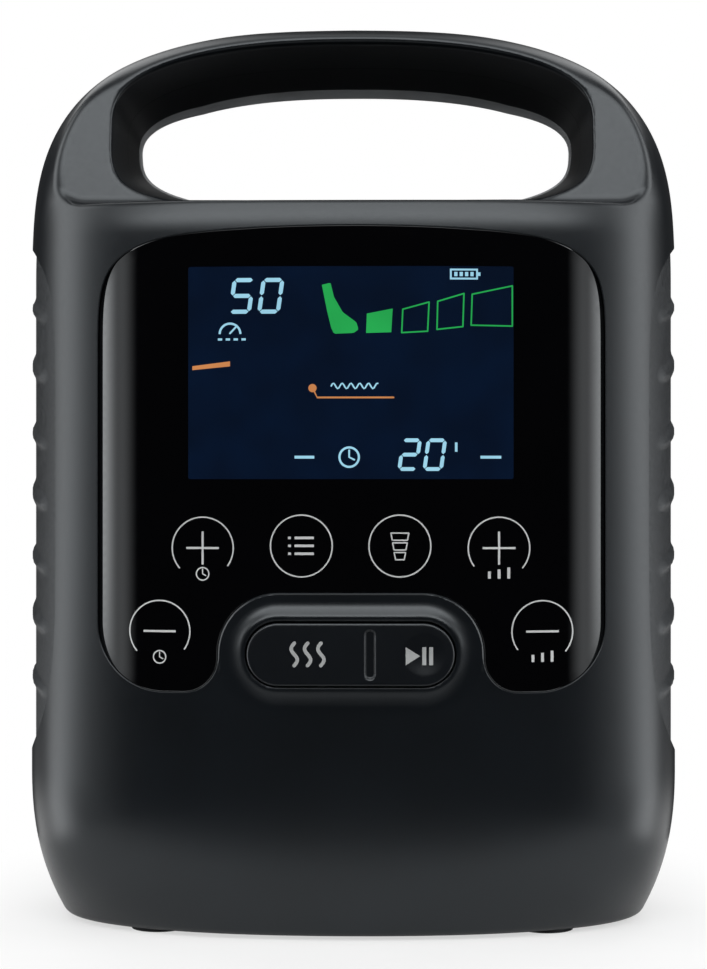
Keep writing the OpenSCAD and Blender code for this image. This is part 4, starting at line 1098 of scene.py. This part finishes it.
# strength; azimuth from the front and elevation in degrees, each edge from dark to fully lit:
# lower azimuth, upper azimuth, lower elevation, upper elevation
SOFTBOXES = (
    (3.4, (54, 32), None, (20, 33), (76, 56)),
    (2.6, (54, 32), None, (24, 31), (41, 33)),
    (2.2, (108, 130), (174, 152), (22, 40), (80, 62)),
    (3.3, (56, 78), (102, 86), (-9, -1), (62, 36)),
    (3.2, (70, 92), (112, 98), (-56, -36), (-1, -9)),
    (0.45, (40, 54), (120, 100), (-56, -34), (62, 36)),
    (0.9, (190, 180), None, (62, 82), (190, 180)),
    (1.2, (96, 116), (156, 138), (-44, -28), (-5, -14)),
    (0.7, (30, 12), None, (-62, -48), (-24, -36)))
AMBIENT, MIRRORED_BACKDROP, MIRRORED_WHITE = 0.006, 0.03, 0.05


def soft_edge(tree, value, low, high):
    """Soft edge of a lit area: 0 at low and 1 at high, which may be given in either order."""
    return ramp(tree, value, 0, 1, math.radians(low), math.radians(high), True)


def softboxes(tree):
    """Light and pale backdrop round the object, by their direction."""
    direction = add(tree, "SeparateXYZ", Vector=add(tree, "TexCoord").outputs["Generated"]).outputs
    aside = calculate(tree, "ABSOLUTE", direction["X"])
    azimuth = calculate(tree, "ARCTAN2", aside, calculate(tree, "MULTIPLY", direction["Y"], -1.0))
    elevation = calculate(tree, "ARCSINE", direction["Z"])
    total = AMBIENT
    for strength, low, high, below, above in SOFTBOXES:
        lit = soft_edge(tree, azimuth, *low)
        for value, limits in ((azimuth, high), (elevation, below), (elevation, above)):
            if limits:
                lit = calculate(tree, "MULTIPLY", lit, soft_edge(tree, value, *limits))
        total = calculate(tree, "ADD", calculate(tree, "MULTIPLY", lit, strength), total)
    behind, raised = soft_edge(tree, azimuth, 100, 130), soft_edge(tree, elevation, -2, 8)
    return total, calculate(tree, "MULTIPLY", behind, raised)


def light_path(tree):
    """The light path's outputs, and 1 on rays that see the white background."""
    rays = add(tree, "LightPath").outputs
    return rays, calculate(tree, "MAXIMUM", rays["Is Camera Ray"], rays["Is Transmission Ray"])


def mixed(tree, kind, factor, a, b):
    node = add(tree, "Mix")
    node.data_type = kind
    return feed(tree, node, Factor=factor, A=a, B=b).outputs["Result"]


def studio():
    """An oval pale floor that fades into a white background, under soft lights, with painted shade on its
    front part for what the object reflects.
    """
    t = np.arange(128) * 2 * math.pi / 128
    rim = np.stack([FLOOR_W * np.cos(t), FLOOR_D * np.sin(t), 0 * t], 1)
    floor = make_object("floor", rim, [tuple(range(128))])
    material, tree, shader = new_material("floor_paper", (0.72, 0.72, 0.72), 0.7, specular=0.2)
    ahead = add(tree, "SeparateXYZ", Vector=own_point(tree)).outputs["Y"]
    # painted shade: the floor in front of the object turns dark grey for reflected and diffuse rays, standing
    # in for a dark studio front; camera rays still see white there
    dark = ramp(tree, ahead, 0, 1, -0.082, -0.138)
    paper = tint(tree, noise(tree, 30.0, 2.0), (0.71, 0.71, 0.71), (0.73, 0.73, 0.73))
    feed(tree, shader, Base_Color=mixed(tree, "RGBA", dark, paper, (0.08, 0.08, 0.08, 1)))
    scaled = add(tree, "VectorMath", own_point(tree), (FLOOR_W * MM, FLOOR_D * MM, 1))
    scaled.operation = "DIVIDE"
    far = add(tree, "VectorMath", scaled.outputs["Vector"])
    far.operation = "LENGTH"
    fade = ramp(tree, far.outputs["Value"], 0.6, 1, 0.5, 0.97, True)
    rays, seen = light_path(tree)
    mirrored = calculate(tree, "MULTIPLY", rays["Is Glossy Ray"], MIRRORED_WHITE)
    seen = calculate(tree, "MAXIMUM", seen, mirrored)
    blank = calculate(tree, "MULTIPLY", seen, calculate(tree, "MAXIMUM", fade, dark))
    mix = add(tree, "MixShader", blank, shader.outputs["BSDF"], add(tree, "Emission").outputs["Emission"])
    feed(tree, tree.nodes["Material Output"], Surface=mix.outputs["Shader"])
    floor.data.materials.append(material)
    floor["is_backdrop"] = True

    world = bpy.data.worlds.new("studio")
    bpy.context.scene.world = world
    world.use_nodes = True
    tree = world.node_tree
    rays, seen = light_path(tree)
    light, backdrop = softboxes(tree)
    mirrored = calculate(tree, "MULTIPLY", rays["Is Glossy Ray"], backdrop)
    light = calculate(tree, "ADD", light, calculate(tree, "MULTIPLY", mirrored, MIRRORED_BACKDROP))
    feed(tree, tree.nodes["Background"], Color=(1, 1, 1, 1), Strength=mixed(tree, "FLOAT", seen, light, 1.0))


studio()

CAMERA = Vector((0.0105, -0.672, 0.1285))
SENSOR, PHOTO_H, FOCAL_PIXELS = 36, 969, 2233
camera_data = bpy.data.cameras.new("camera")
camera_data.sensor_width = SENSOR
camera_data.lens = FOCAL_PIXELS * SENSOR / PHOTO_H
camera = bpy.data.objects.new("camera", camera_data)
bpy.context.scene.collection.objects.link(camera)
camera.location = CAMERA
camera.rotation_euler = (Vector((0, 0, CAMERA.z)) - CAMERA).to_track_quat("-Z", "Y").to_euler()
bpy.context.scene.camera = camera
bpy.context.scene.view_settings.view_transform = "Standard"

bpy.context.view_layer.update()
low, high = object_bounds()
